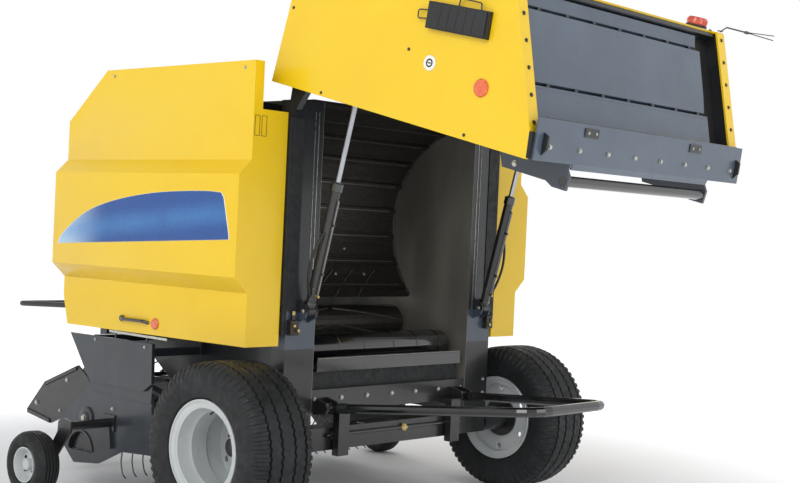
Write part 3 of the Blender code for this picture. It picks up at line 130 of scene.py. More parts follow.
class Surface:
    """A Principled material whose node tree is built step by step."""

    def __init__(self, name, roughness=0.5, metallic=0.0, **settings):
        self.material = bpy.data.materials.new(name)
        self.material.use_nodes = True
        self.tree = self.material.node_tree
        self.shader = self.tree.nodes["Principled BSDF"]
        self.shader.inputs["Roughness"].default_value = roughness
        self.shader.inputs["Metallic"].default_value = metallic
        for key, value in settings.items():
            self.shader.inputs[key.replace("_", " ")].default_value = value
        self.coords = self.node("ShaderNodeTexCoord").outputs["Object"]

    def node(self, kind, **values):
        """A new node with these properties."""
        made = self.tree.nodes.new(kind)
        for key, value in values.items():
            setattr(made, key, value)
        return made

    def link(self, output, socket):
        """Joins an output to a socket."""
        self.tree.links.new(output, socket)

    def noise(self, scale, detail=4.0, stretch=None, rough=0.55):
        """Noise over the shape, stretched along an axis where a stretch is given."""
        noise = self.node("ShaderNodeTexNoise")
        noise.inputs["Scale"].default_value = scale
        noise.inputs["Detail"].default_value = detail
        noise.inputs["Roughness"].default_value = rough
        source = self.coords
        if stretch is not None:
            mapping = self.node("ShaderNodeMapping")
            mapping.inputs["Scale"].default_value = stretch
            self.link(self.coords, mapping.inputs["Vector"])
            source = mapping.outputs["Vector"]
        self.link(source, noise.inputs["Vector"])
        return noise.outputs["Fac"]

    def spread(self, value, low, high, start=0.3, end=0.7):
        """A value between start and end, spread out from low to high."""
        node = self.node("ShaderNodeMapRange", interpolation_type="SMOOTHSTEP")
        for name, number in (("From Min", start), ("From Max", end), ("To Min", low), ("To Max", high)):
            node.inputs[name].default_value = number
        self.link(value, node.inputs["Value"])
        return node.outputs["Result"]

    def mix(self, share, first, second):
        """A blend of two colours."""
        node = self.node("ShaderNodeMix", data_type="RGBA")
        for socket, value in ((node.inputs[0], share), (node.inputs[6], first), (node.inputs[7], second)):
            if hasattr(value, "links"):
                self.link(value, socket)
            else:
                socket.default_value = value
        return node.outputs[2]

    def math(self, operation, first, second=0.0):
        """One step of arithmetic on outputs or numbers."""
        node = self.node("ShaderNodeMath", operation=operation)
        for socket, value in zip(node.inputs, (first, second)):
            if hasattr(value, "links"):
                self.link(value, socket)
            else:
                socket.default_value = value
        return node.outputs[0]

    def place(self, axis):
        """The x, y or z of the point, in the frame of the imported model."""
        split = self.node("ShaderNodeSeparateXYZ")
        self.link(self.coords, split.inputs["Vector"])
        return split.outputs[axis]

    def colour(self, value):
        """Sets the base colour from an output."""
        self.link(value, self.shader.inputs["Base Color"])

    def rough(self, value):
        """Sets the roughness from an output."""
        self.link(value, self.shader.inputs["Roughness"])

    def bump(self, height, strength, distance=0.001):
        """Raises the surface by an output."""
        bump = self.node("ShaderNodeBump")
        bump.inputs["Strength"].default_value = strength
        bump.inputs["Distance"].default_value = distance
        self.link(height, bump.inputs["Height"])
        self.link(bump.outputs["Normal"], self.shader.inputs["Normal"])


def painted(name, base, shade, dust, roughness=0.35, coat=0.3, dusty=0.12, peel=0.06):
    """Sprayed paint: slow changes of shade, a little dust, and the fine ripple of its surface."""
    surface = Surface(name, roughness, 0.0, Coat_Weight=coat, Coat_Roughness=0.12)
    shades = surface.mix(surface.spread(surface.noise(2.2), 0.0, 1.0), srgb(*base), srgb(*shade))
    film = surface.spread(surface.noise(6.5, 8.0, (1, 1, 0.35)), 0.0, dusty, 0.45, 0.8)
    surface.colour(surface.mix(film, shades, srgb(*dust)))
    surface.rough(surface.spread(surface.noise(14.0), roughness - 0.03, roughness + 0.05))
    surface.bump(surface.noise(220.0, 2.0), peel, 0.0006)
    return surface


def worn_metal(name, base, bright, roughness=0.35, stretch=(1, 1, 12)):
    """Bare steel polished by use, with scratches along its length."""
    surface = Surface(name, roughness, 0.9)
    scratches = surface.noise(38.0, 10.0, stretch, 0.7)
    surface.colour(surface.mix(surface.spread(scratches, 0.0, 1.0), srgb(*base), srgb(*bright)))
    surface.rough(surface.spread(scratches, roughness - 0.06, roughness + 0.12))
    surface.bump(scratches, 0.15, 0.0006)
    return surface


def rubber(name):
    """Tyre rubber: near black, dusty in patches, with a fine grain."""
    surface = Surface(name, 0.75, 0.0, Specular_IOR_Level=0.35)
    low = surface.mix(surface.spread(surface.noise(9.0), 0.0, 1.0), srgb(22, 24, 26), srgb(32, 34, 36))
    dust = surface.spread(surface.noise(26.0, 8.0), 0.0, 0.22, 0.5, 0.75)
    surface.colour(surface.mix(dust, low, srgb(66, 64, 57)))
    surface.rough(surface.spread(surface.noise(30.0), 0.45, 0.7))
    surface.bump(surface.noise(420.0, 3.0), 0.25, 0.0008)
    return surface


def reflector(name, base, bright):
    """A moulded reflector: small prisms under a clear face."""
    surface = Surface(name, 0.2, 0.0, Coat_Weight=0.8, Coat_Roughness=0.05)
    prisms = surface.node("ShaderNodeTexVoronoi")
    prisms.inputs["Scale"].default_value = 180.0
    surface.link(surface.coords, prisms.inputs["Vector"])
    depth = prisms.outputs["Distance"]
    surface.colour(surface.mix(surface.spread(depth, 0.0, 1.0, 0.1, 0.6), srgb(*bright), srgb(*base)))
    surface.bump(depth, 0.4, 0.001)
    return surface


def decal_blue(name):
    """The stripe's blue, running from pale at the front to deep at the rear, with two light sweeps that are a
    painted highlight.
    """
    surface = Surface(name, 0.35, 0.0, Coat_Weight=0.15, Coat_Roughness=0.1)
    x = surface.place("X")
    z = surface.place("Z")
    front = AXLE_X + 1.50
    rear = AXLE_X + 0.05
    along = surface.spread(x, 1.0, 0.0, front - 0.45, front)
    deep = surface.mix(along, srgb(172, 199, 222), srgb(8, 70, 140))
    # A lighter band slanting along the stripe's upper part is a painted highlight
    rise = surface.math("MULTIPLY", surface.math("SUBTRACT", x, rear), 0.10)
    wave = surface.math("SUBTRACT", surface.math("ADD", z, rise), 1.60)
    glow = surface.spread(surface.math("ABSOLUTE", wave), 0.55, 0.0, 0.0, 0.09)
    painted_highlight = surface.math("MULTIPLY", glow, surface.spread(surface.noise(4.0), 0.55, 1.0))
    surface.colour(surface.mix(painted_highlight, deep, srgb(62, 130, 190)))
    surface.rough(surface.spread(surface.noise(12.0), 0.2, 0.32))
    return surface


YELLOW = painted("yellow_paint", (227, 190, 16), (224, 185, 13), (208, 182, 104),
                 roughness=0.34, coat=0.2, dusty=0.02, peel=0.02)
PLATE_BLUE = painted("plate_blue_paint", (75, 88, 103), (67, 79, 93), (104, 109, 112),
                     roughness=0.34, coat=0.3)
STEEL_BLUE = painted("steel_blue_paint", (62, 71, 83), (54, 62, 73), (96, 98, 96), roughness=0.36, coat=0.3)
BLACK = painted("black_paint", (20, 21, 23), (26, 27, 29), (70, 68, 62),
                roughness=0.34, coat=0.35, dusty=0.08)
GLOSS_BLACK = painted("gloss_black_paint", (16, 17, 19), (22, 23, 25), (60, 58, 54),
                      roughness=0.16, coat=0.8, dusty=0.05)
DARK_GREY = painted("dark_grey_paint", (46, 53, 60), (38, 44, 50), (90, 88, 80),
                    roughness=0.38, coat=0.25, dusty=0.14)
SILVER = painted("silver_paint", (196, 200, 200), (182, 187, 188), (130, 126, 116),
                 roughness=0.3, coat=0.4, dusty=0.15)
WHITE = painted("white_plastic", (232, 232, 226), (222, 222, 216), (170, 165, 150), roughness=0.4, coat=0.2)
PLASTIC = painted("black_plastic", (30, 31, 33), (24, 25, 27), (80, 78, 72),
                  roughness=0.5, coat=0.0, dusty=0.12, peel=0.2)
RUBBER = rubber("tyre_rubber")
STEEL = worn_metal("worn_steel", (96, 94, 90), (150, 148, 144))
DARK_STEEL = worn_metal("dark_worn_steel", (44, 43, 42), (86, 84, 80), roughness=0.45)
ZINC = worn_metal("zinc_steel", (168, 168, 160), (206, 205, 196), roughness=0.3, stretch=(1, 1, 1))
CHROME = worn_metal("chrome_rod", (150, 153, 158), (172, 175, 180), roughness=0.16, stretch=(1, 1, 0.2))
BRASS = worn_metal("brass", (170, 148, 92), (206, 186, 130), roughness=0.3, stretch=(1, 1, 1))
ORANGE = reflector("orange_reflector", (206, 84, 40), (240, 128, 76))
AMBER = reflector("amber_lens", (176, 44, 24), (226, 92, 52))
DECAL = decal_blue("blue_decal")

# The record's material slot of a piece in each surface, unless the piece names another
SLOT_OF = {
    PLATE_BLUE: "steel_grey_paint", BLACK: "black_paint", GLOSS_BLACK: "black_paint",
    DARK_GREY: "dark_grey_paint", SILVER: "silver_paint", WHITE: "silver_paint", PLASTIC: "black_plastic",
    RUBBER: "tyre_rubber",
    STEEL: "worn_steel", DARK_STEEL: "worn_steel", ZINC: "worn_steel", BRASS: "worn_steel",
    ORANGE: "amber_lens", AMBER: "amber_lens", DECAL: "yellow_paint",
}


def frame_paint():
    """The side frame: dark paint, a paler foot on each rear post, and rubbed steel with a painted sheen
    towards the chamber.
    """
    surface = painted("side_frame_paint", (29, 33, 38), (23, 27, 32), (66, 68, 68), roughness=0.36, coat=0.3)
    dark = surface.shader.inputs["Base Color"].links[0].from_socket
    height = surface.place("Z")
    above = surface.spread(height, 0.0, 1.0, 0.908, 0.910)
    below = surface.spread(height, 1.0, 0.0, 1.098, 1.102)
    post = surface.spread(surface.place("X"), 1.0, 0.0, AXLE_X + 0.071, AXLE_X + 0.073)
    pale = surface.math("MULTIPLY", surface.math("MULTIPLY", above, below), post)
    paint = surface.mix(pale, dark, srgb(58, 68, 81))
    foot = surface.math("MULTIPLY", surface.math("SUBTRACT", 1.0, above), post)
    paint = surface.mix(foot, paint, srgb(20, 21, 23))
    aside = surface.math("ABSOLUTE", surface.place("Y"))
    inner = surface.spread(aside, 1.0, 0.0, WALL_IN + 0.001, WALL_IN + 0.003)
    # Soft upright streaks of lighter steel on the chamber's walls are a painted sheen
    painted_sheen = surface.noise(1.4, 3.0, (1.6, 1, 0.5), 0.5)
    steel = surface.mix(surface.spread(painted_sheen, 0.0, 1.0, 0.35, 0.65), srgb(98, 96, 90), srgb(134, 132, 122))
    surface.colour(surface.mix(inner, paint, steel))
    surface.link(surface.math("MULTIPLY", inner, 0.25), surface.shader.inputs["Metallic"])
    return surface


# ---------------------------------------------------------------- pieces

class Piece:
    """A mesh put together from simple closed shapes, which then rides on one body."""

    def __init__(self, name, body, surface, slot=None, place=MACHINE):
        self.name = name
        self.body = body
        self.surface = surface
        self.slot = slot or SLOT_OF[surface]
        self.place = place
        self.bm = bmesh.new()

    def box(self, x, y, z):
        """A box between two values on each axis."""
        low = Vector((min(x), min(y), min(z)))
        high = Vector((max(x), max(y), max(z)))
        move = Matrix.Translation((low + high) / 2) @ Matrix.Diagonal((*(high - low), 1))
        bmesh.ops.create_cube(self.bm, size=1.0, matrix=move)
        return self

    def rod(self, start, end, radius, sides=20, radius_end=None):
        """A straight round bar, or a cone where its end has another radius."""
        start = Vector(start)
        end = Vector(end)
        turn = (end - start).to_track_quat("Z", "Y").to_matrix().to_4x4()
        bmesh.ops.create_cone(self.bm, cap_ends=True, segments=sides, radius1=radius,
                              radius2=radius if radius_end is None else radius_end,
                              depth=(end - start).length, matrix=Matrix.Translation((start + end) / 2) @ turn)
        return self

    def prism(self, outline, low, high, axis="y"):
        """A flat outline pushed along an axis; the outline gives the other two coordinates in order."""
        def lift(a, b, c):
            return {"x": (c, a, b), "y": (a, c, b), "z": (a, b, c)}[axis]
        bottom = [self.bm.verts.new(lift(a, b, low)) for a, b in outline]
        top = [self.bm.verts.new(lift(a, b, high)) for a, b in outline]
        self.bm.faces.new(bottom)
        self.bm.faces.new(reversed(top))
        for k in range(len(outline)):
            n = (k + 1) % len(outline)
            self.bm.faces.new((bottom[k], bottom[n], top[n], top[k]))
        return self

    def spun(self, profile, centre, axis=(0, 1, 0), sides=48):
        """A closed profile of (along, radius) pairs turned round an axis through a point."""
        turn = Vector(axis).to_track_quat("Z", "Y").to_matrix().to_4x4()
        move = Matrix.Translation(Vector(centre)) @ turn
        rings = []
        for along, radius in profile:
            count = sides if radius else 1
            ring = []
            for k in range(count):
                angle = 2 * math.pi * k / sides
                place = Vector((radius * math.cos(angle), radius * math.sin(angle), along))
                ring.append(self.bm.verts.new(move @ place))
            rings.append(ring)
        for here, there in zip(rings, rings[1:] + rings[:1]):
            if len(here) == 1 and len(there) == 1:
                continue
            for k in range(sides):
                n = (k + 1) % sides
                corners = [here[k % len(here)], here[n % len(here)],
                           there[n % len(there)], there[k % len(there)]]
                self.bm.faces.new(list(dict.fromkeys(corners)))
        return self

    def tube(self, points, radius, sides=12):
        """A round bar along a path."""
        points = [Vector(p) for p in points]
        rings = []
        side = None
        for k, here in enumerate(points):
            ahead = points[min(k + 1, len(points) - 1)]
            behind = points[max(k - 1, 0)]
            along = (ahead - behind).normalized()
            if side is None:
                side = along.orthogonal().normalized()
            side = (side - along * side.dot(along)).normalized()
            other = along.cross(side)
            ring = []
            for n in range(sides):
                angle = 2 * math.pi * n / sides
                away = side * math.cos(angle) + other * math.sin(angle)
                ring.append(self.bm.verts.new(here + away * radius))
            rings.append(ring)
        for here, there in zip(rings, rings[1:]):
            for n in range(sides):
                m = (n + 1) % sides
                self.bm.faces.new((here[n], here[m], there[m], there[n]))
        self.bm.faces.new(reversed(rings[0]))
        self.bm.faces.new(rings[-1])
        return self

    def bolt(self, place, out, size=0.011, height=0.009):
        """A hexagon head on a washer, with a slightly domed top."""
        place = Vector(place)
        out = Vector(out).normalized()
        washer = 0.002
        dome = 0.0015
        self.rod(place, place + out * washer, size * 1.25, 20)
        self.rod(place + out * washer, place + out * height, size, 6)
        self.rod(place + out * height, place + out * (height + dome), size * 0.85, 12, size * 0.6)
        return self

    def done(self, bevel=0.0, smooth=35):
        """The finished object, in place and riding on its body."""
        bmesh.ops.transform(self.bm, matrix=self.place, verts=self.bm.verts)
        obj = shown(self.name, self.bm, self.surface, smooth)
        ease_edges(obj, bevel, 40)
        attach(obj, self.body)
        return obj


def shown(name, bm, surface, smooth):
    """A scene object from a mesh under construction, smooth but for edges above an angle in degrees."""
    bmesh.ops.recalc_face_normals(bm, faces=bm.faces)
    mesh = bpy.data.meshes.new(name)
    bm.to_mesh(mesh)
    bm.free()
    mesh.shade_smooth()
    mesh.set_sharp_from_angle(angle=math.radians(smooth))
    mesh.materials.append(surface.material)
    obj = bpy.data.objects.new(name, mesh)
    bpy.context.scene.collection.objects.link(obj)
    return obj


def ease_edges(obj, width, angle):
    """Rounds the edges of an object above an angle in degrees."""
    if not width:
        return
    modifier = obj.modifiers.new("edges", "BEVEL")
    modifier.width = width
    modifier.segments = 2
    modifier.limit_method = "ANGLE"
    modifier.angle_limit = math.radians(angle)
    modifier.harden_normals = True


def rounded(points, radius, steps=6):
    """The path through these points with its inner corners rounded."""
    points = [Vector(p) for p in points]
    path = [points[0]]
    for before, corner, after in zip(points, points[1:], points[2:]):
        start = corner + (before - corner).normalized() * radius
        end = corner + (after - corner).normalized() * radius
        for k in range(steps + 1):
            t = k / steps
            path.append(start * (1 - t) ** 2 + corner * 2 * t * (1 - t) + end * t ** 2)
    return path + [points[-1]]


def curve_through(points, steps=5):
    """A smooth open curve that runs through these points and stops short of the last."""
    padded = [points[0], *points, points[-1]]
    curve = []
    for k in range(len(points) - 1):
        a, b, c, d = (Vector(p) for p in padded[k:k + 4])
        for step in range(steps):
            t = step / steps
            curve.append(tuple(0.5 * (2 * b + (c - a) * t + (2 * a - 5 * b + 4 * c - d) * t * t
                                      + (3 * b - a - 3 * c + d) * t * t * t)))
    return curve


def arc(centre, radius, start, end, steps):
    """Points on a circle between two angles in degrees."""
    angles = [math.radians(start + (end - start) * k / steps) for k in range(steps + 1)]
    return [(centre[0] + radius * math.cos(a), centre[1] + radius * math.sin(a)) for a in angles]


def spoke(turn):
    """The direction, in the upright plane along the machine, after this share of a full turn."""
    angle = 2 * math.pi * turn
    return Vector((math.cos(angle), 0, math.sin(angle)))


def skin(node, surface, bevel=0.0, smooth=35):
    """A cleaner copy of a CAD node's shape, with its sharp edges eased, that is shown in its place."""
    source = frame["nodes"][node]
    bm = bmesh.new()
    bm.from_mesh(source.data)
    bmesh.ops.remove_doubles(bm, verts=bm.verts, dist=1e-5)
    bmesh.ops.dissolve_limit(bm, angle_limit=math.radians(0.5), verts=bm.verts, edges=bm.edges)
    obj = shown(node + "_skin", bm, surface, smooth)
    ease_edges(obj, bevel, 30)
    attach(obj, source["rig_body"])
    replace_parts(obj, node)


def dress_nodes():
    """Every CAD node's surface; those with simple plates also get eased edges."""
    single = {
        GLOSS_BLACK: ("tailgate_roller", "kicker_frame", "floor_sill"),
        BLACK: ("axle_beam", "hose_loop", "hitch", "drive_case", "jack_sleeve", "wind_guard", "top_cover",
                "rear_bolt_plate"),
        DARK_GREY: ("gearbox", "net_box", "pickup_frame"),
        STEEL_BLUE: ("front_cross_beam", "top_cross_beam", "drawbar", "tailgate_frame"),
        DARK_STEEL: ("chamber_apron", "tailgate_apron", "starter_roller", "feed_rotor"),
        STEEL: ("jack_leg", "pickup_reel"),
    }
    paired = {
        BLACK: ("hub", "gauge_arm", "cylinder_barrel"),
        DARK_GREY: ("lower_skirt",),
        CHROME: ("cylinder_rod",),
        frame_paint(): ("side_frame",),
    }
    dressed = [(surface, name) for surface, names in single.items() for name in names]
    for word, _ in SIDES:
        dressed += [(surface, word + "_" + name) for surface, names in paired.items() for name in names]
        skin(word + "_shield_door", YELLOW, 0.004)
        skin("tailgate_" + word + "_side", YELLOW, 0.0015)
        skin(word + "_pickup_side", DARK_GREY, 0.0015)
    for surface, name in dressed:
        mesh = frame["nodes"][name].data
        mesh.materials.clear()
        mesh.materials.append(surface.material)
    skin("tailgate_rear_cover", YELLOW, 0.002)
    skin("tailgate_bolt_plate", PLATE_BLUE, 0.0015)
    skin("net_box_lid", YELLOW, 0.002)
    skin("pto_shaft", PLASTIC, 0.0, 40)


# ---------------------------------------------------------------- wheels

def tyre_size(node):
    """Half the width and the radius of a tyre, from its CAD solid."""
    low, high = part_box(node)
    return (high.y - low.y) / 2, (high.z - low.z) / 2


def crown_line(grooves, edges, drift, fall, half, radius, power):
    """Across a tyre's crown: each groove's edges and floor, on a crown that falls off to its sides."""
    line = []
    for middle in grooves:
        for edge, drop in edges:
            across = middle + edge
            line.append((across + drift, radius - fall * (abs(across) / half) ** power - drop))
    return line


def tread_tyre(word):
    """A main tyre: a smooth side wall, notched shoulders, and four zigzag grooves round a flat crown."""
    centre = Vector(JOINTS[word + "_wheel_spin"]["pos_m"])
    half, radius = tyre_size(word + "_tyre")
    lugs = 66
    notch = 0.009
    zigzag = 0.0045
    # Share of a lug's length, whether the shoulder stands up there, and the grooves' sway
    steps = ((0.00, 1, 1), (0.38, 1, 0.3), (0.46, 0, -0.3), (0.50, 0, -1), (0.88, 0, -0.3), (0.96, 1, 0.3))
    # Share of the half width, radius, and share of the notch, from the shoulder to the bead
    wall = ((0.86, 0.419, 1), (0.93, 0.404, 1), (0.97, 0.384, 1), (0.99, 0.362, 0.3), (0.995, 0.352, 0),
            (1, 0.335, 0), (0.985, 0.295, 0), (0.93, 0.262, 0), (0.845, 0.2515, 0), (0.845, 0.2175, 0))
    grooves = (0.115, 0.042, -0.042, -0.115)
    edges = ((0.0075, 0), (0.0045, 0.011), (-0.0045, 0.011), (-0.0075, 0))
    piece = Piece(word + "_tread_tyre", word + "_wheel", RUBBER, place=WORLD)
    rings = []
    for lug in range(lugs):
        for share, raised, sway in steps:
            shoulder = [(half * across, r - notch * part * (1 - raised)) for across, r, part in wall]
            crown = crown_line(grooves, edges, zigzag * sway, 0.010, half, radius, 3)
            ring = shoulder[::-1] + crown + [(-across, r) for across, r in shoulder]
            out = spoke((lug + share) / lugs)
            rings.append([piece.bm.verts.new(centre + out * r + Vector((0, across, 0)))
                          for across, r in ring])
    for here, there in zip(rings, rings[1:] + rings[:1]):
        for k in range(len(here)):
            n = (k + 1) % len(here)
            piece.bm.faces.new((here[k], here[n], there[n], there[k]))
    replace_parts(piece.done(0.0, WHEEL_SMOOTH), word + "_tyre")


def gauge_wheel(word, side):
    """A gauge wheel: its ribbed tyre, its pressed rim and four nuts."""
    body = word + "_gauge_wheel"
    centre = Vector(JOINTS[word + "_gauge_spin"]["pos_m"])
    half, radius = tyre_size(word + "_gauge_tyre")
    shares = ((0.72, 0.0962), (0.85, 0.108), (0.97, 0.122), (1, 0.137), (0.96, 0.152), (0.86, 0.164),
              (0.66, 0.173))
    wall = [(half * across, r) for across, r in shares]
    edges = ((0.004, 0), (0.002, 0.006), (-0.002, 0.006), (-0.004, 0))
    crown = crown_line((0.030, 0.010, -0.010, -0.030), edges, 0, 0.006, half, radius, 2)
    profile = wall + crown + [(-across, r) for across, r in reversed(wall)]
    tyre = Piece(word + "_gauge_tread_tyre", body, RUBBER, place=WORLD)
    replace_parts(tyre.spun(profile, centre, ACROSS, 72).done(0.0, WHEEL_SMOOTH), word + "_gauge_tyre")
    hub = 0.034
    bore = 0.0145
    dish = half * 0.30
    rim = [(half * 0.80, 0.0957), (half * 0.86, 0.097), (half * 0.86, 0.090), (half * 0.60, 0.080),
           (dish, 0.070), (dish, hub), (half * 0.66, 0.030), (half * 0.70, 0.026), (half * 0.70, 0.0),
           (hub, 0.0), (hub, bore), (-half * 0.66, bore), (-half * 0.66, 0.030), (-dish, 0.035),
           (-dish, 0.068), (-half * 0.80, 0.080), (-half * 0.80, 0.0957)]
    disc = Piece(word + "_gauge_rim_disc", body, SILVER, place=WORLD)
    disc.spun([(side * along, r) for along, r in rim], centre, ACROSS, 72)
    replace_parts(disc.done(0.0, WHEEL_SMOOTH), word + "_gauge_rim")
    nuts = Piece(word + "_gauge_nuts", body, DARK_STEEL, place=WORLD)
    out = Vector((0, side, 0))
    for k in range(4):
        nuts.bolt(centre + out * (dish + 0.0005) + spoke((k + 0.5) / 4) * 0.051, out, 0.007, 0.007)
    nuts.done()


def main_rim(word, side):
    """A deep pressed rim with rolled flanges, a stepped barrel and a disc with round holes."""
    centre = Vector(JOINTS[word + "_wheel_spin"]["pos_m"])
    low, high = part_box(word + "_rim")
    half = (high.y - low.y) / 2
    disc = -0.123
    dish = disc + 0.012
    thick = 0.006
    edge = 0.205
    hub = 0.0853
    roll = (half - 0.001, 0.240)
    flange = [(half - 0.020, 0.206), (half - 0.008, 0.236), roll, (half, 0.245), (half - 0.003, 0.2500),
              (half - 0.013, 0.2500), (half - 0.014, 0.2165)]
    far_flange = [(-along, r) for along, r in reversed(flange) if (along, r) != roll]
    back = [(disc - thick, edge), (disc - thick, 0.160), (dish - thick, 0.135), (dish - thick, hub)]
    face = [(dish + thick, hub), (dish + thick, 0.135), (disc + (thick + 0.004), 0.155),
            (disc + thick, 0.168), (disc + thick, edge)]
    step = [(half - 0.210, edge), (half - 0.190, 0.187), (half - 0.095, 0.187), (half - 0.075, 0.200)]
    profile = [(side * along, r) for along, r in flange + far_flange + back + face + step]
    wheel = Piece(word + "_rim_pressing", word + "_wheel", SILVER, place=WORLD)
    obj = wheel.spun(profile, centre, ACROSS, 96).done(0.0, WHEEL_SMOOTH)
    holes = Piece("cutter", word + "_wheel", SILVER, place=WORLD)
    reach = Vector((0, 0.03, 0))
    for k in range(6):
        angle = math.pi * (k + 0.5) / 3
        place = centre + Vector((math.cos(angle) * 0.176, side * disc, math.sin(angle) * 0.176))
        holes.rod(place - reach, place + reach, 0.016, 24)
    cutter = holes.done()
    modifier = obj.modifiers.new("holes", "BOOLEAN")
    modifier.operation = "DIFFERENCE"
    modifier.object = cutter
    graph = bpy.context.evaluated_depsgraph_get()
    mesh = bpy.data.meshes.new_from_object(obj.evaluated_get(graph))
    obj.modifiers.clear()
    obj.data = mesh
    bpy.data.objects.remove(cutter)
    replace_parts(obj, word + "_rim")
    hub_details(word, side, centre, side * dish)


def hub_details(word, side, centre, dish):
    """The wheel's nuts, the hub's stepped cap and its ribs."""
    body = word + "_wheel"
    out = Vector((0, side, 0))
    seat = centre + Vector((0, dish + side * 0.0065, 0))
    cap = Piece(word + "_hub_cap", body, BLACK, place=WORLD)
    cap.spun([(0.004, 0.0), (0.004, 0.082), (0.016, 0.080), (0.022, 0.062), (0.060, 0.058), (0.066, 0.050),
              (0.090, 0.047), (0.097, 0.038), (0.099, 0.0)], seat, out)
    nuts = Piece(word + "_wheel_nuts", body, DARK_STEEL, place=WORLD)
    for k in range(8):
        rib = seat + spoke(k / 8) * 0.058
        cap.rod(rib + out * 0.010, rib + out * 0.058, 0.007, 10)
        stud = seat + spoke((k + 0.5) / 8) * 0.104
        nuts.rod(stud, stud + out * 0.026, 0.007, 12)
        nuts.bolt(stud, out, 0.013, 0.015)
    cap.done(0.001)
    nuts.done()
    valve = Piece(word + "_valve", body, PLASTIC, place=WORLD)
    start = centre + Vector((0, side * 0.110, 0.186))
    valve.rod(start, start + out * 0.022 - Vector((0, 0, 0.012)), 0.004, 12).done()


# ---------------------------------------------------------------- shields

def stripe(word, side):
    """The blue stripe on a shield's middle band, a sweep that narrows to the front, and its pale edge."""
    top = [(1.500, 1.388), (1.440, 1.457), (1.245, 1.569), (0.984, 1.640), (0.657, 1.684), (0.346, 1.699),
           (0.150, 1.699)]
    rear = [(0.112, 1.694), (0.092, 1.670), (0.044, 1.490), (0.040, 1.462)]
    outline = curve_through(top) + rear
    y = side * SHIELD_MID_Y
    decal = Piece(word + "_stripe", word + "_shield_door", DECAL)
    decal.prism(outline, y + side * 0.0002, y + side * 0.0012).done()
    middle = Vector((0.72, 1.52))
    wider = [tuple(middle + (Vector(p) - middle) * 1.008) for p in outline]
    edge = Piece(word + "_stripe_edge", word + "_shield_door", WHITE, "yellow_paint")
    edge.prism(wider, y + side * 0.0001, y + side * 0.0008).done()


def shield_details(word, side):
    """A shield's blank label frames on its rear edge, its handle, reflector and top bolts."""
    body = word + "_shield_door"
    line = 0.0025
    x = (SHIELD_REAR - 0.0010, SHIELD_REAR - 0.0001)
    z = (1.985, 2.088)
    labels = Piece(word + "_shield_labels", body, PLASTIC)
    for low in (side * 1.020, side * 1.066):
        high = low + side * 0.034
        for start, end in ((z[0], z[0] + line), (z[1] - line, z[1])):
            labels.box(x, (low, high), (start, end))
        for start, end in ((low, low + side * line), (high - side * line, high)):
            labels.box(x, (start, end), z)
    labels.done()
    y = side * 1.101
    grip_y = y + side * 0.020
    handle = Piece(word + "_shield_handle", body, GLOSS_BLACK, "black_plastic")
    path = [(0.99, y, 1.000), (0.97, grip_y, 0.998), (0.78, grip_y, 0.998), (0.755, y, 0.990)]
    handle.tube(rounded(path, 0.012), 0.009)
    handle.rod((0.985, y, 1.000), (0.985, y + side * 0.012, 1.000), 0.017).done()
    glass = Piece(word + "_side_reflector", body, ORANGE)
    glass.spun(lens(0.030), (0.700, y, 0.990), (0, side, 0), 40).done()
    bolts = Piece(word + "_shield_bolts", body, ZINC)
    for x in (0.06, 1.14):
        bolts.bolt((x, side * 1.110, 2.325), (0, side, 0), 0.007, 0.005)
    bolts.done()


def lens(radius):
    """The profile of a round reflector with an eased rim."""
    return [(0.0, 0.0), (0.0, radius), (0.006, radius), (0.010, radius - 0.004), (0.011, 0.0)]


# ---------------------------------------------------------------- tailgate

def gate_piece(name, surface, slot=None):
    """A piece on the tailgate, drawn as if the tailgate were closed."""
    return Piece(name, "tailgate", surface, slot, GATE)


def rear_plates():
    """The sloping rear face: three folded sheets, and a black sheet behind that paints the shade in the gaps
    between them and in the recess at the right.
    """
    start = Vector(GATE_D)
    along = (Vector(GATE_E) - start).normalized()
    inward = Vector((along.y, -along.x))
    length = (Vector(GATE_E) - start).length
    middle = 0.8495
    post = 0.9035
    floor = 0.0995

    def at(share, depth):
        return tuple(start + along * length * share + inward * depth)

    def slab(piece, shares, depths, y):
        low, high = shares
        near, far = depths
        piece.prism([at(low, near), at(high, near), at(high, far), at(low, far)], *y)

    # A black sheet behind the plates: painted shade in the gaps between them and in the recess at the right
    shade_sheet = gate_piece("tailgate_plate_shade_sheet", BLACK, "steel_grey_paint")
    slab(shade_sheet, (0.014, 0.965), (0.078, floor), (-middle, middle))
    for side in (1, -1):
        slab(shade_sheet, (0.020, 0.965), (0.0125, floor), (side * (middle + 0.0005), side * post))
    slab(shade_sheet, (0.9655, 0.990), (0.020, floor), (-post, post))
    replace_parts(shade_sheet.done(), "tailgate_rear_plates")
    sheets = gate_piece("tailgate_sheets", PLATE_BLUE)
    # Shares of the face where a sheet starts, folds and ends, and its depth at the start and after the fold
    folds = ((0.014, 0.30, 0.325, 0.030, 0.026), (0.345, 0.46, 0.835, 0.044, 0.034),
             (0.860, 0.93, 0.962, 0.058, 0.048))
    for first, fold, last, low, high in folds:
        face = [at(first, low + 0.010), at(first + 0.006, low), at(fold, (low + high) / 2),
                at(fold + 0.004, high + 0.004), at(last - 0.006, high), at(last, high + 0.008)]
        sheets.prism(face + [at(last, 0.0778), at(first, 0.0778)], -0.700, middle)
    sheets.done(0.0015)
    tabs = gate_piece("tailgate_sheet_tabs", BLACK)
    for share, depth in ((0.335, 0.036), (0.848, 0.046)):
        for k in range(7):
            y = 0.70 - 0.22 * k
            slab(tabs, (share - 0.008, share + 0.008), (depth, depth + 0.02), (y - 0.012, y + 0.012))
    tabs.done()


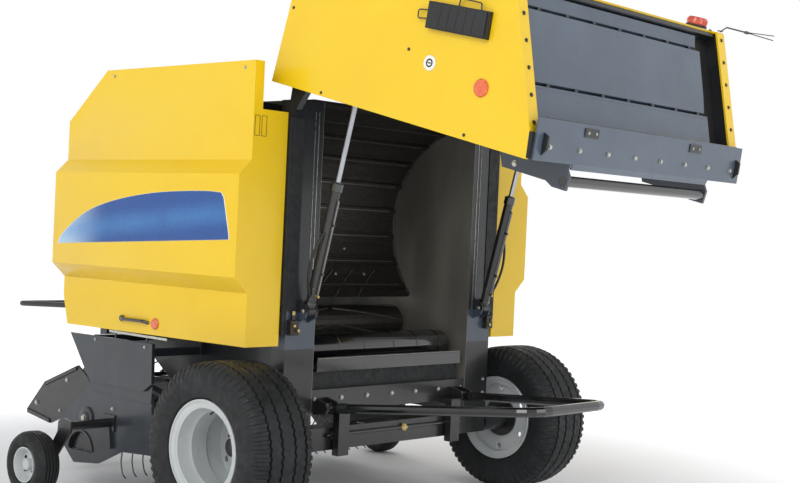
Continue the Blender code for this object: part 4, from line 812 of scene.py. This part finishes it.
def gate_screws():
    """Black screws along the strips and on the side panels."""
    screws = gate_piece("tailgate_strip_screws", GLOSS_BLACK)
    for side in (1, -1):
        for start, end, count in ((GATE_D, GATE_E, 6), (GATE_E, GATE_F, 9)):
            along = (Vector(end) - Vector(start)).normalized()
            out = Vector((-along.y, 0, along.x))
            if out.x > 0:
                out = -out
            for k in range(count):
                point = Vector(start).lerp(Vector(end), 0.06 + 0.88 * k / (count - 1))
                screws.bolt((point.x, side * 0.886, point.y), out, 0.008, 0.006)
        for x, z in ((-0.363, 1.553), (-0.050, 2.060), (-0.055, 1.113), (-0.420, 2.380), (-0.70, 1.30)):
            screws.bolt((x, side * GATE_OUT, z), (0, side, 0), 0.0065, 0.004)
    screws.done()


def bolt_plate_details():
    """The bolt plate's bright bolts, a black tube along its rolled lip that paints a thin shadow line, and
    two bolted tabs.
    """
    down = Vector((-0.09, 0, -1)).normalized()
    bright = gate_piece("tailgate_plate_bolts", ZINC)
    for k in range(8):
        bright.bolt((-0.101, -0.802 + 0.2291 * k, 0.7285), down, *MEDIUM)
    for side in (1, -1):
        bright.bolt((0.034, side * 0.6162, 1.032), (0, side, 0), *PIVOT)
    bright.done()
    # A black tube along the plate's back edge: a painted shadow line where it stands in front of the next
    # plate
    lip = gate_piece("tailgate_plate_shadow_line", GLOSS_BLACK)
    lip.tube([(-0.2215, -0.845, 0.7490), (-0.2215, 0.845, 0.7490)], 0.0042, 10).done()
    tabs = gate_piece("tailgate_plate_tabs", BLACK)
    studs = gate_piece("tailgate_tab_bolts", ZINC)
    for y in (0.50, -0.42):
        tabs.prism([(-0.165, 0.7345), (-0.206, 0.7380), (-0.2062, 0.7335), (-0.1652, 0.7300)], y - 0.055,
                   y + 0.055)
        for step in (-0.03, 0.03):
            studs.bolt((-0.186, y + step, 0.7322), down, 0.006, 0.005)
    tabs.done(0.001)
    studs.done()


def document_case():
    """The ribbed document box on the left panel, with its two wire clips."""
    y = GATE_OUT + 0.0004
    lid = y + 0.034
    case = gate_piece("document_case", PLASTIC)
    case.prism([(-0.601, 1.470), (-0.611, 1.108), (-0.488, 1.098), (-0.477, 1.461)], y, y + 0.028)
    case.prism([(-0.596, 1.462), (-0.604, 1.116), (-0.494, 1.107), (-0.484, 1.453)], y + 0.028, lid)
    for share in (0.2, 0.35, 0.5, 0.65, 0.8):
        z = 1.12 + 0.33 * share
        case.box((-0.592, -0.496), (lid, lid + 0.0015), (z - 0.004, z + 0.004))
    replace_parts(case.done(0.003), "document_box")
    clips = gate_piece("document_case_wires", GLOSS_BLACK)
    top = ((-0.520, 0.010, 1.470), (-0.512, 0.018, 1.525), (-0.552, 0.018, 1.530), (-0.560, 0.010, 1.470))
    rear = ((-0.605, 0.014, 1.30), (-0.640, 0.018, 1.295), (-0.640, 0.018, 1.17), (-0.608, 0.014, 1.165))
    for path in (top, rear):
        clips.tube(rounded([(x, y + out, z) for x, out, z in path], 0.01), 0.0035, 8)
    clips.done()


def gate_plates():
    """The round plate on the left panel and a reflector on each."""
    place = (-0.326, GATE_OUT, 1.406)
    plate = gate_piece("round_plate", WHITE)
    plate.spun([(0.0, 0.0), (0.0, 0.036), (0.004, 0.036), (0.0065, 0.033), (0.005, 0.030), (0.005, 0.0)],
               place, ACROSS, 40).done()
    mark = gate_piece("round_plate_mark", PLASTIC)
    mark.spun([(0.005, 0.013), (0.006, 0.013), (0.006, 0.020), (0.005, 0.020)], place, ACROSS, 32)
    mark.box((-0.329, -0.323), (GATE_OUT + 0.005, GATE_OUT + 0.006), (1.396, 1.416)).done()
    for word, side in SIDES:
        glass = gate_piece(word + "_gate_reflector", ORANGE)
        glass.spun(lens(0.041), (-0.277, side * GATE_OUT, 1.077), (0, side, 0), 48).done()


def tail_lamp():
    """The round lamp on the rear face: its lens, the lens's ribs and the ring it stands in."""
    foot = Vector((GATE_E[0] - 0.002, -0.78, 1.130))
    back = (-1, 0, 0)
    glass = gate_piece("tail_lamp_lens", AMBER)
    glass.spun([(0.0, 0.0), (0.0, 0.0505), (0.014, 0.0515), (0.016, 0.0540), (0.040, 0.0530), (0.048, 0.0500),
                (0.052, 0.0430), (0.053, 0.0)], foot, back, 48)
    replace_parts(glass.done(), "tail_lamp")
    ribs = gate_piece("tail_lamp_ribs", ORANGE)
    for degrees in range(0, 360, 10):
        angle = math.radians(degrees)
        spot = foot + Vector((0, 0.0536 * math.cos(angle), 0.0536 * math.sin(angle)))
        ribs.rod(spot + Vector((-0.018, 0, 0)), spot + Vector((-0.040, 0, 0)), 0.0014, 6)
    ribs.done()
    base = gate_piece("tail_lamp_base", PLASTIC)
    base.spun([(0.0, 0.0518), (0.0, 0.057), (0.010, 0.057), (0.012, 0.0545), (0.012, 0.0518)], foot, back,
              40).done()


def gate_edges():
    """The wire feeler at the right corner, the latch tongues and the rubber edges beside the bolt plate."""
    feeler = gate_piece("wire_feeler", GLOSS_BLACK)
    root = Vector((-0.792, -0.890, 1.045))
    bend = root + Vector((-0.030, -0.030, -0.016))
    joint = root + Vector((-0.026, -0.060, -0.110))
    feeler.rod(root, root + Vector((-0.006, 0, 0)), 0.016)
    feeler.tube([root, bend, joint], 0.0045, 8)
    feeler.rod(joint, joint + (joint - bend).normalized() * 0.022, 0.008, 12)
    for spread in (-0.012, 0.012):
        feeler.tube([joint, joint + Vector((spread * 0.4, -0.020, -0.060)),
                     joint + Vector((spread, -0.045, -0.150))], 0.0026, 6)
    feeler.done()
    tongue = gate_piece("tailgate_latch", BLACK, "steel_grey_paint")
    rubber_edge = gate_piece("tailgate_rubber_edges", RUBBER)
    for side in (1, -1):
        tongue.prism([(-0.090, 0.700), (-0.150, 0.706), (-0.160, 0.733), (-0.060, 0.7225)], side * 0.846,
                     side * 0.858)
        rubber_edge.prism([GATE_D, (-0.040, 0.7495), (-0.040, 0.7360), (GATE_D[0] - 0.002, 0.7470)],
                          side * 0.9045, side * (GATE_OUT - 0.0005))
    tongue.done(0.001)
    rubber_edge.done()


# ---------------------------------------------------------------- chamber

def chamber_rings():
    """The toothed ring on each wall of the chamber."""
    inner = CHAMBER_RADIUS - 0.004
    count = 62
    for word, side in SIDES:
        ring = Piece(word + "_chamber_chain", "chassis", STEEL)
        y = side * (WALL_IN - 0.012)
        for k in range(count):
            angle = math.radians(88 - 130 * k / count)
            out = Vector((math.cos(angle), math.sin(angle)))
            along = Vector((-out.y, out.x)) * 0.012
            wide = out * (0.0095 if k % 2 else 0.007)
            middle = Vector(CHAMBER) + out * inner
            corners = [tuple(middle + along * a + wide * b) for a, b in ((-1, -1), (1, -1), (1, 1), (-1, 1))]
            ring.prism(corners, y - 0.006, y + 0.006)
        ring.done(0.0008)


def chamber_details():
    """The apron's wear bars and bolts, and the guide ribs at its foot."""
    half = APRON_HALF - 0.03
    bars = Piece("chamber_slat_bars", "chassis", STEEL)
    for angle in range(-36, 84, 15):
        radius = CHAMBER_RADIUS - 0.0165
        low = arc(CHAMBER, radius - 0.001, angle - 0.25, angle + 0.25, 1)
        high = arc(CHAMBER, radius + 0.001, angle + 0.25, angle - 0.25, 1)
        bars.prism(low + high, -half, half)
    bars.done()
    bolts = Piece("chamber_bolts", "chassis", ZINC)
    for angle, places in ((-28.5, (-0.30, -0.06, 0.18)), (-13.5, (-0.18, 0.06))):
        inward = -spoke(angle / 360)
        for y in places:
            bolts.bolt(Vector((CHAMBER[0], y, CHAMBER[1])) - inward * CHAMBER_RADIUS, inward, *SMALL)
    bolts.done()
    guides = Piece("chamber_guide_ribs", "chassis", STEEL)
    steps = 6
    for high_y in (0.24, 0.10, -0.04, -0.206, -0.397):
        path = []
        for k in range(steps + 1):
            share = k / steps
            z = 1.300 - 0.150 * share
            x = CHAMBER[0] + math.sqrt((CHAMBER_RADIUS - 0.004) ** 2 - (z - CHAMBER[1]) ** 2)
            path.append((x, high_y + 0.240 * share, z))
        guides.tube(path, 0.005, 8)
    guides.done()


def roller_details():
    """The starter roller's spiral ribs, and the floor roller with its raised bands."""
    ribs = Piece("starter_roller_ribs", "starter_roller", STEEL)
    steps = 12
    for rib in range(6):
        for half in (1, -1):
            points = []
            for k in range(steps + 1):
                share = k / steps
                points.append(STARTER_AXIS + spoke((60 * rib + 50 * share) / 360) * 0.1055
                              + Vector((0, half * (0.02 + 0.55 * share), 0)))
            ribs.tube(points, 0.005, 6)
    ribs.done()
    x, z = FLOOR_AXIS
    band = [(0, 0.0750), (0, 0.0775), (0.012, 0.0775), (0.012, 0.0750)]
    drum = Piece("floor_roller_tube", "floor_roller", GLOSS_BLACK, "worn_steel")
    drum.spun([(-0.586, 0.030), (-0.586, 0.0745), (-0.583, 0.0755), (0.583, 0.0755), (0.586, 0.0745),
               (0.586, 0.030)], (x, 0, z), ACROSS, 64)
    for half in (1, -1):
        for k in range(3):
            drum.spun(band, (x, half * (0.12 + 0.2 * k), z), ACROSS, 64)
    drum.rod((x, -0.6295, z), (x, 0.6295, z), 0.0218, 32)
    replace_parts(drum.done(), "floor_roller")


def floor_details():
    """The sill's bright edge, a dark sheet under it that paints the shade in the gap there, and the bolts of
    the plate below.
    """
    bolts = Piece("rear_plate_bolts", "chassis", ZINC)
    for k in range(7):
        bolts.bolt((-0.0225, -0.6 + 0.2 * k, 0.641), (-1, 0, 0), *MEDIUM)
    bolts.done()
    # A dark sheet that paints the shade in the gap under the sill
    gap_shade = Piece("rear_gap_shade", "chassis", RUBBER)
    gap_shade.box((0.010, 0.016), (-0.5920, 0.5920), (0.660, 0.7835)).done()
    edge = Piece("sill_edge", "chassis", STEEL)
    edge.tube([(-0.016, -APRON_HALF, 0.853), (-0.016, APRON_HALF, 0.853)], 0.006, 12).done()


def post_details():
    """Seals, edge strips, bolts and hydraulic fittings on the rear posts."""
    back = (-1, 0, 0)
    for word, side in SIDES:
        seal = Piece(word + "_post_seal", "chassis", RUBBER)
        seal.box((-0.034, 0.060), (side * 0.8405, side * 0.868), (0.985, 2.10))
        seal.box((-0.0345, POST_BACK), (side * 0.770, side * 0.8403), (1.110, 2.10)).done(0.004)
        strip = Piece(word + "_post_strip", "chassis", ZINC)
        strip.box((-0.0325, POST_BACK), (side * 0.664, side * 0.667), (1.10, 2.14))
        strip.box((-0.0325, POST_BACK), (side * 0.690, side * 0.692), (1.16, 2.14)).done()
        bolts = Piece(word + "_post_bolts", "chassis", ZINC)
        for z in (0.60, 0.68):
            bolts.bolt((-0.0302, side * 0.800, z), back, *FRAME)
        bolts.bolt((HINGE.x - AXLE_X, side * 0.8702, HINGE.z), (0, side, 0), 0.022, 0.010)
        for y, out in ((0.7575, side), (0.6825, -side)):
            bolts.bolt((-0.072, side * y, 1.110), (0, out, 0), *PIVOT)
        bolts.done()
        valve = Piece(word + "_hydraulic_block", "chassis", DARK_STEEL, "black_paint")
        valve.box((-0.062, POST_BACK), (side * 0.775, side * 0.832), (0.985, 1.062))
        valve.rod((-0.045, side * 0.800, 1.062), (-0.045, side * 0.800, 1.088), 0.012, 6).done(0.003)
        brass = Piece(word + "_hydraulic_fittings", "chassis", BRASS)
        brass.rod((-0.045, side * 0.800, 1.088), (-0.045, side * 0.800, 1.108), 0.009, 6)
        brass.rod((-0.062, side * 0.790, 1.010), (-0.078, side * 0.790, 1.010), 0.009, 6)
        brass.rod((-0.062, side * 0.815, 1.035), (-0.074, side * 0.815, 1.035), 0.008, 6).done(0.0008)


def cylinder_details(word, side):
    """The rings, feed pipe, hose, clamps and port on a cylinder's barrel, and the heads of its rod's pin."""
    body = word + "_cylinder_barrel"
    start = Vector(JOINTS[word + "_cylinder_swing"]["pos_m"])
    along = Vector(JOINTS[word + "_cylinder_slide"]["axis"]).normalized()
    out = Vector((0, side, 0))
    ahead = along.cross(out).normalized()
    if ahead.x > 0:
        ahead = -ahead

    def piece(name, surface):
        return Piece(word + "_cylinder_" + name, body, surface, place=WORLD)

    def at(distance, reach=0.0):
        return start + along * distance + ahead * reach

    rings = piece("rings", GLOSS_BLACK)
    bore = 0.0268
    chamfer = 0.001
    for distance, radius, length in ((0.034, 0.0295, 0.018), (0.640, 0.0320, 0.042), (0.120, 0.0285, 0.010)):
        rings.spun([(0.0, bore), (0.0, radius - chamfer), (chamfer, radius), (length - chamfer, radius),
                    (length, radius - chamfer), (length, bore)], at(distance), along, 32)
    rings.spun([(0.0, 0.0143), (0.0, 0.0200), (0.005, 0.0190), (0.005, 0.0143)], at(0.6832), along, 32).done()
    pipe = piece("pipe", STEEL)
    path = [at(0.090, 0.026), at(0.095, 0.037), at(0.595, 0.037), at(0.600, 0.026)]
    pipe.tube(rounded(path, 0.006), 0.0048, 10).done()
    path = []
    steps = 12
    for k in range(steps + 1):
        share = k / steps
        reach = 0.024 + 0.052 * math.sin(math.pi * share) ** 0.8
        path.append(at(0.080 + 0.340 * share, 0.010) + out * reach)
    piece("hose", PLASTIC).tube(path, 0.0075, 12).done()
    clamps = piece("clamps", BLACK)
    for distance in (0.20, 0.46):
        clamps.spun([(0.0, 0.0266), (0.0, 0.0285), (0.016, 0.0285), (0.016, 0.0266)], at(distance), along, 32)
        clamps.rod(at(distance + 0.008, 0.028), at(distance + 0.008, 0.044), 0.0075, 12)
    clamps.done()
    piece("port", BRASS).rod(at(0.090, 0.025), at(0.090, 0.046), 0.0085, 6).done(0.0006)
    low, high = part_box(word + "_cylinder_rod")
    eye = 0.029
    heads = Piece(word + "_rod_pin_heads", word + "_cylinder_rod", ZINC, place=WORLD)
    for y, way in ((high.y, 1), (low.y, -1)):
        place = Vector((low.x + eye, y, high.z - eye))
        heads.rod(place, place + Vector((0, way * 0.003, 0)), 0.010, 20)
    heads.done()


# ---------------------------------------------------------------- kicker and underside

def kicker_details():
    """The kicker's springs, link rods and pads, and a fitting under the chamber."""
    springs = Piece("kicker_springs", "chassis", DARK_STEEL)
    steps = 9 * 12
    coil = 0.013
    for side in (1, -1):
        points = []
        for k in range(steps + 1):
            angle = 2 * math.pi * k / 12
            points.append((-0.092 + coil * math.cos(angle), side * SPRING_Y + coil * math.sin(angle),
                           0.372 + 0.150 * k / steps))
        springs.tube(points, 0.0026, 6)
    springs.done()
    links = Piece("kicker_link_rods", "chassis", GLOSS_BLACK)
    links.rod((-0.070, -0.55, 0.452), (-0.070, 0.55, 0.452), 0.010, 16)
    pads = Piece("kicker_pads", "kicker", RUBBER)
    for side in (1, -1):
        links.rod((-0.098, side * SPRING_Y, 0.356), (-0.060, side * SPRING_Y, 0.356), 0.008, 12)
        links.box((-0.078, -0.062), (side * 0.505, side * 0.515), (0.43, 0.475))
        pads.rod((-0.150, side * 0.5465, 0.6052), (-0.205, side * 0.534, 0.6100), 0.0275, 24)
    links.rod((-0.040, 0.30, 0.500), (-0.040, -0.20, 0.420), 0.007, 12).done(0.001)
    pads.done(0.002)
    fitting = Piece("underside_fitting", "chassis", BRASS)
    fitting.rod((-0.072, -0.06, 0.435), (-0.072, -0.06, 0.472), 0.014, 6)
    fitting.rod((-0.072, -0.085, 0.452), (-0.072, -0.035, 0.452), 0.012, 6).done(0.001)


# ---------------------------------------------------------------- pickup

def pickup_details(word, side):
    """A pickup side plate's gusset, arch rib, bolts and reel bearing."""
    y = side * PICKUP_FACE
    out = Vector((0, side, 0))
    hub = (1.380, 0.400)
    arch = (1.430, 0.205)
    trim = Piece(word + "_pickup_gusset", "pickup", DARK_GREY)
    trim.prism([(0.793, 0.530), (0.757, 0.272), (0.768, 0.270), (0.804, 0.530)], y, y + side * 0.004)
    trim.prism([(1.150, 0.424), (1.162, 0.424), (1.140, 0.255), (1.122, 0.262)], y, y + side * 0.020)
    trim.done(0.0015)
    rib = Piece(word + "_pickup_arch_rib", "pickup", BLACK)
    ring = arc(arch, 0.122, 4, 176, 16) + arc(arch, 0.1105, 4, 176, 16)[::-1]
    rib.prism(ring, y, y + side * 0.007)
    rib.prism(arc(arch, 0.118, 0, 180, 16), side * 1.0030, side * 1.0045).done()
    bolts = Piece(word + "_pickup_bolts", "pickup", ZINC)
    for x, z in ((1.141, 0.478), (1.640, 0.290)):
        bolts.bolt((x, y, z), out, *FRAME)
    bolts.bolt((hub[0], y + side * 0.0202, hub[1]), out, 0.016, 0.010).done()
    bearing = Piece(word + "_reel_bearing", "pickup", DARK_GREY)
    bearing.spun([(0.0, 0.0), (0.0, 0.062), (0.008, 0.062), (0.012, 0.055), (0.012, 0.036), (0.020, 0.032),
                  (0.020, 0.0)], (hub[0], y, hub[1]), out, 36).done()


def skirt_details(word, side):
    """A lower skirt's edge, flap, rail, hangers and bolts."""
    edge = side * 1.0462
    skirt = Piece(word + "_skirt_details", "chassis", DARK_GREY)
    skirt.prism([(0.783, 0.872), (0.793, 0.872), (0.786, 0.662), (0.776, 0.662)], edge, edge + side * 0.004)
    skirt.prism([(0.790, 0.650), (1.380, 0.670), (1.345, 0.560), (0.800, 0.540)], side * 1.0264,
                side * 1.0290).done(0.0015)
    rail = Piece(word + "_skirt_rail", "chassis", ZINC)
    rail.prism([(0.664, 0.900), (1.174, 0.906), (1.174, 0.920), (0.664, 0.914)], side * 1.040,
               side * 1.048).done(0.001)
    hangers = Piece(word + "_rail_hangers", "chassis", BLACK)
    for x in (0.84, 1.12):
        hangers.box((x, x + 0.012), (side * 1.0335, side * 1.0398), (0.876, 0.918))
    hangers.done(0.0008)
    nuts = Piece(word + "_skirt_bolts", "chassis", ZINC)
    for x, z in ((0.850, 0.850), (1.300, 0.855)):
        nuts.bolt((x, edge, z), (0, side, 0), *SMALL)
    nuts.done()


def guard_details(word, side):
    """The wind guard's side stiffeners and bolts."""
    y = side * GUARD_FACE
    guard = Piece(word + "_guard_details", "wind_guard", BLACK)
    guard.prism([(1.795, 0.315), (2.027, 0.349), (2.034, 0.374), (1.800, 0.338)], y, y + side * 0.008)
    guard.prism([(1.550, 0.676), (1.869, 0.549), (1.860, 0.530), (1.545, 0.655)], y, y + side * 0.008)
    guard.done(0.001)
    ends = Piece(word + "_guard_bolts", "wind_guard", ZINC)
    for x, z, size, height in ((1.940, 0.420, 0.012, 0.009), (1.640, 0.585, 0.010, 0.008),
                               (1.700, 0.400, 0.008, 0.006)):
        ends.bolt((x, y, z), (0, side, 0), size, height)
    ends.done()


def crop_wires():
    """The hooked wires hanging from a rod under the pickup, and the bent wires behind the guard's roller."""
    x, z = (1.100, 0.262)
    wires = Piece("pickup_wires", "pickup", BLACK)
    wires.rod((x, -1.0045, z), (x, 1.0045, z), 0.010, 12)
    for k in range(27):
        y = -0.975 + 0.075 * k
        path = [(x, y, z), (1.112, y, 0.180), (1.090, y, 0.110), (1.062, y, 0.098)]
        wires.tube(rounded(path, 0.022, 4), 0.0038, 6)
    wires.done()
    fingers = Piece("guard_fingers", "wind_guard", STEEL)
    for k in range(13):
        y = -0.90 + 0.15 * k
        path = [(1.640, y, 0.602), (1.610, y, 0.640), (1.480, y, 0.690), (1.380, y, 0.706)]
        fingers.tube(rounded(path, 0.03, 4), 0.005, 8)
        fingers.tube([(1.632, y - 0.012, 0.606), (1.632, y + 0.012, 0.606)], 0.008, 8)
    fingers.done()


# ---------------------------------------------------------------- front

def front_bolts():
    """The bolts of the gearbox, drawbar, hitch, net box and drive case."""
    top = (0, 0, 1)
    front = (1, 0, 0)
    bolts = Piece("front_bolts", "chassis", ZINC)
    for y in (-0.115, 0.115):
        for z in (1.06, 1.29):
            bolts.bolt((GEARBOX_FRONT + 0.0002, y, z), front, 0.011, 0.010)
    for x in (1.56, 1.80):
        for y in (-0.115, 0.115):
            bolts.bolt((x, y, GEARBOX_TOP), top, *MEDIUM)
    for side in (1, -1):
        for x in (2.30, 2.60):
            bolts.bolt((x, side * 0.0802, 0.70 - (x - 2.30) * 0.8), (0, side, 0), 0.014, 0.012)
        for z in (0.295, 0.365):
            bolts.bolt((2.9755, side * 0.056, z), front, *FRAME)
        for y in (0.30, 0.55):
            bolts.bolt((1.8802, side * y, 1.52), front, *SMALL)
    for x, z in ((0.62, 1.02), (1.20, 1.02), (1.70, 1.12), (1.70, 1.28), (1.20, 1.33), (0.62, 1.33)):
        bolts.bolt((x, 0.8605, z), ACROSS, 0.008, 0.007)
    bolts.done()


def driveline_details():
    """The folds of the driveline's cover at both ends, and the yoke on its front end."""
    start = Vector(JOINTS["pto_spin"]["pos_m"])
    along = Vector(JOINTS["pto_spin"]["axis"]).normalized()
    folds = [(0.022 + 0.024 * k, 0.030, 0.015, 0.0, 0.20) for k in range(7)]
    folds += [(0.635 + 0.024 * k, 0.045, 0.010, 0.62, 0.18) for k in range(6)]
    rings = Piece("driveline_rings", "pto_shaft", PLASTIC, place=WORLD)
    for distance, least, growth, root, length in folds:
        radius = least + growth * (distance - root) / length
        inner = radius - 0.002
        outer = radius + 0.003
        rings.spun([(0.0, inner), (0.0, outer), (0.008, outer), (0.008, inner)], start + along * distance,
                   along, 32)
    rings.done()
    yoke = Piece("driveline_yoke", "pto_shaft", STEEL, place=WORLD)
    yoke.spun([(0.0, 0.0262), (0.0, 0.034), (0.030, 0.034), (0.034, 0.030), (0.034, 0.0262)],
              start + along * 0.870, along, 32).done()


def front_details():
    """The gearbox's ribs and plug, the driveline's guard, the jack's knob and the net lid's handles."""
    top = (0, 0, 1)
    ribs = Piece("gearbox_ribs", "chassis", DARK_GREY)
    for x in (1.57, 1.62, 1.74, 1.79):
        for side in (1, -1):
            ribs.box((x - 0.004, x + 0.004), (side * 0.1502, side * 0.162), (1.05, 1.30))
    ribs.spun([(0.0, 0.0), (0.0, 0.022), (0.012, 0.022), (0.018, 0.014), (0.018, 0.0)],
              (1.66, -0.08, GEARBOX_TOP), top, 24).done(0.001)
    guard = Piece("driveline_guard", "chassis", PLASTIC)
    guard.spun([(0.0, 0.0605), (0.0, 0.075), (0.004, 0.079), (0.090, 0.092), (0.090, 0.088), (0.006, 0.0735),
                (0.006, 0.0605)], (GEARBOX_FRONT + 0.0015, 0, 1.160), (1, 0, 0)).done()
    knob = Piece("jack_knob", "chassis", GLOSS_BLACK, "black_plastic")
    knob.spun([(0.0, 0.0), (0.0, 0.009), (0.008, 0.013), (0.050, 0.015), (0.060, 0.011), (0.064, 0.0)],
              (2.560, 0.125, 0.9572), top, 24).done()
    grips = Piece("net_lid_handles", "net_box_lid", GLOSS_BLACK, "black_plastic")
    for y in (-0.30, 0.30):
        corners = ((1.8955, -0.06), (1.915, -0.06), (1.915, 0.06), (1.8955, 0.06))
        grips.tube(rounded([(x, y + step, 1.83) for x, step in corners], 0.008), 0.006, 10)
    grips.done()
    cover = Piece("top_cover_ribs", "chassis", BLACK)
    for y in (-0.42, -0.14, 0.14, 0.42):
        cover.box((0.10, 1.16), (y - 0.018, y + 0.018), (2.2102, 2.2162))
    cover.done(0.002)


def loop_sleeve():
    """The soft sleeve over the bent holder of the hoses at the front."""
    low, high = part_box("hose_loop")
    front = high.x - AXLE_X - 0.012
    rear = low.x - AXLE_X + 0.120
    half = (high.y - low.y) / 2 - 0.020
    rear_level = LOOP_HEIGHT + 0.05 * (front - rear) / (front - rear + 0.10)
    path = [(rear, half, rear_level), (front, half, LOOP_HEIGHT), (front, -half, LOOP_HEIGHT),
            (rear, -half, rear_level)]
    Piece("hose_loop_sleeve", "chassis", PLASTIC).tube(rounded(path, 0.10), 0.0185, 14).done()


# ---------------------------------------------------------------- stage

def camera():
    """The photograph's viewpoint: behind the left rear corner, at chest height, slightly rolled."""
    place = Vector((-5.101 + AXLE_X, 5.643, 1.542))
    yaw, pitch, roll = (math.radians(angle) for angle in (-48.075, -0.428, 2.631))
    ahead = Vector((math.cos(yaw) * math.cos(pitch), math.sin(yaw) * math.cos(pitch), math.sin(pitch)))
    level = Vector((math.sin(yaw), -math.cos(yaw), 0))
    upright = level.cross(ahead)
    right = level * math.cos(roll) + upright * math.sin(roll)
    up = upright * math.cos(roll) - level * math.sin(roll)
    data = bpy.data.cameras.new("camera")
    data.sensor_width = 36.0
    data.lens = 61.4
    data.clip_end = 200.0
    obj = bpy.data.objects.new("camera", data)
    bpy.context.scene.collection.objects.link(obj)
    turn = Matrix((right, up, -ahead)).transposed().to_4x4()
    obj.matrix_world = Matrix.Translation(place) @ turn
    bpy.context.scene.camera = obj


def area_light(name, place, target, size, power):
    """A soft rectangular light that faces a point."""
    data = bpy.data.lights.new(name, "AREA")
    data.shape = "RECTANGLE"
    data.size, data.size_y = size
    data.energy = power
    obj = bpy.data.objects.new(name, data)
    bpy.context.scene.collection.objects.link(obj)
    obj.location = Vector(place)
    obj.rotation_mode = "QUATERNION"
    obj.rotation_quaternion = (Vector(target) - Vector(place)).to_track_quat("-Z", "Y")


def floor():
    """A plain pale floor that glows a little away from the machine."""
    surface = Surface("studio_floor", 0.8)
    shades = surface.spread(surface.noise(0.6), 0.0, 1.0)
    surface.colour(surface.mix(shades, srgb(240, 241, 243), srgb(236, 237, 240)))
    surface.shader.inputs["Emission Color"].default_value = (1.0, 1.0, 1.0, 1.0)
    away = surface.node("ShaderNodeVectorMath", operation="LENGTH")
    surface.link(surface.coords, away.inputs[0])
    glow = surface.spread(away.outputs["Value"], 0.0, 0.62, 1.9, 5.0)
    surface.link(glow, surface.shader.inputs["Emission Strength"])
    bm = bmesh.new()
    bmesh.ops.create_circle(bm, cap_ends=True, segments=96, radius=60.0)
    mesh = bpy.data.meshes.new("studio_floor")
    bm.to_mesh(mesh)
    bm.free()
    mesh.materials.append(surface.material)
    ground = bpy.data.objects.new("studio_floor", mesh)
    ground.location.z = -0.001
    bpy.context.scene.collection.objects.link(ground)


def surround():
    """A white surround, bright near the horizon and dimmer above."""
    world = bpy.data.worlds.new("studio")
    world.use_nodes = True
    tree = world.node_tree
    background = tree.nodes["Background"]
    background.inputs["Color"].default_value = (1.0, 1.0, 1.0, 1.0)
    split = tree.nodes.new("ShaderNodeSeparateXYZ")
    tree.links.new(tree.nodes.new("ShaderNodeTexCoord").outputs["Generated"], split.inputs["Vector"])
    fade = tree.nodes.new("ShaderNodeMapRange")
    for name, number in (("From Min", 0.30), ("From Max", 0.75), ("To Min", 1.0), ("To Max", 0.30)):
        fade.inputs[name].default_value = number
    tree.links.new(split.outputs["Z"], fade.inputs["Value"])
    tree.links.new(fade.outputs["Result"], background.inputs["Strength"])
    bpy.context.scene.world = world


def lights():
    """Four large soft lights."""
    area_light("key", (-3.0, 8.0, 6.5), (-0.5, 0.5, 1.4), (5.0, 4.0), 285)
    area_light("rear", (-8.5, 0.5, 4.0), (-0.8, 0.0, 1.3), (4.0, 4.0), 98)
    area_light("top", (-0.5, 0.0, 8.0), (-0.5, 0.0, 0.0), (6.0, 5.0), 160)
    area_light("front", (8.0, -5.0, 5.0), (0.0, 0.0, 1.2), (5.0, 4.0), 160)
    bpy.context.scene.view_settings.view_transform = "Standard"


camera()
floor()
surround()
lights()
dress_nodes()
for side_word, side_sign in SIDES:
    tread_tyre(side_word)
    for detail in (gauge_wheel, main_rim, stripe, shield_details, cylinder_details, pickup_details,
                   skirt_details, guard_details):
        detail(side_word, side_sign)
for detail in (rear_plates, gate_screws, bolt_plate_details, document_case, gate_plates, tail_lamp,
               gate_edges, chamber_rings, chamber_details, roller_details, floor_details, post_details,
               kicker_details, crop_wires, front_bolts, driveline_details, front_details, loop_sleeve):
    detail()
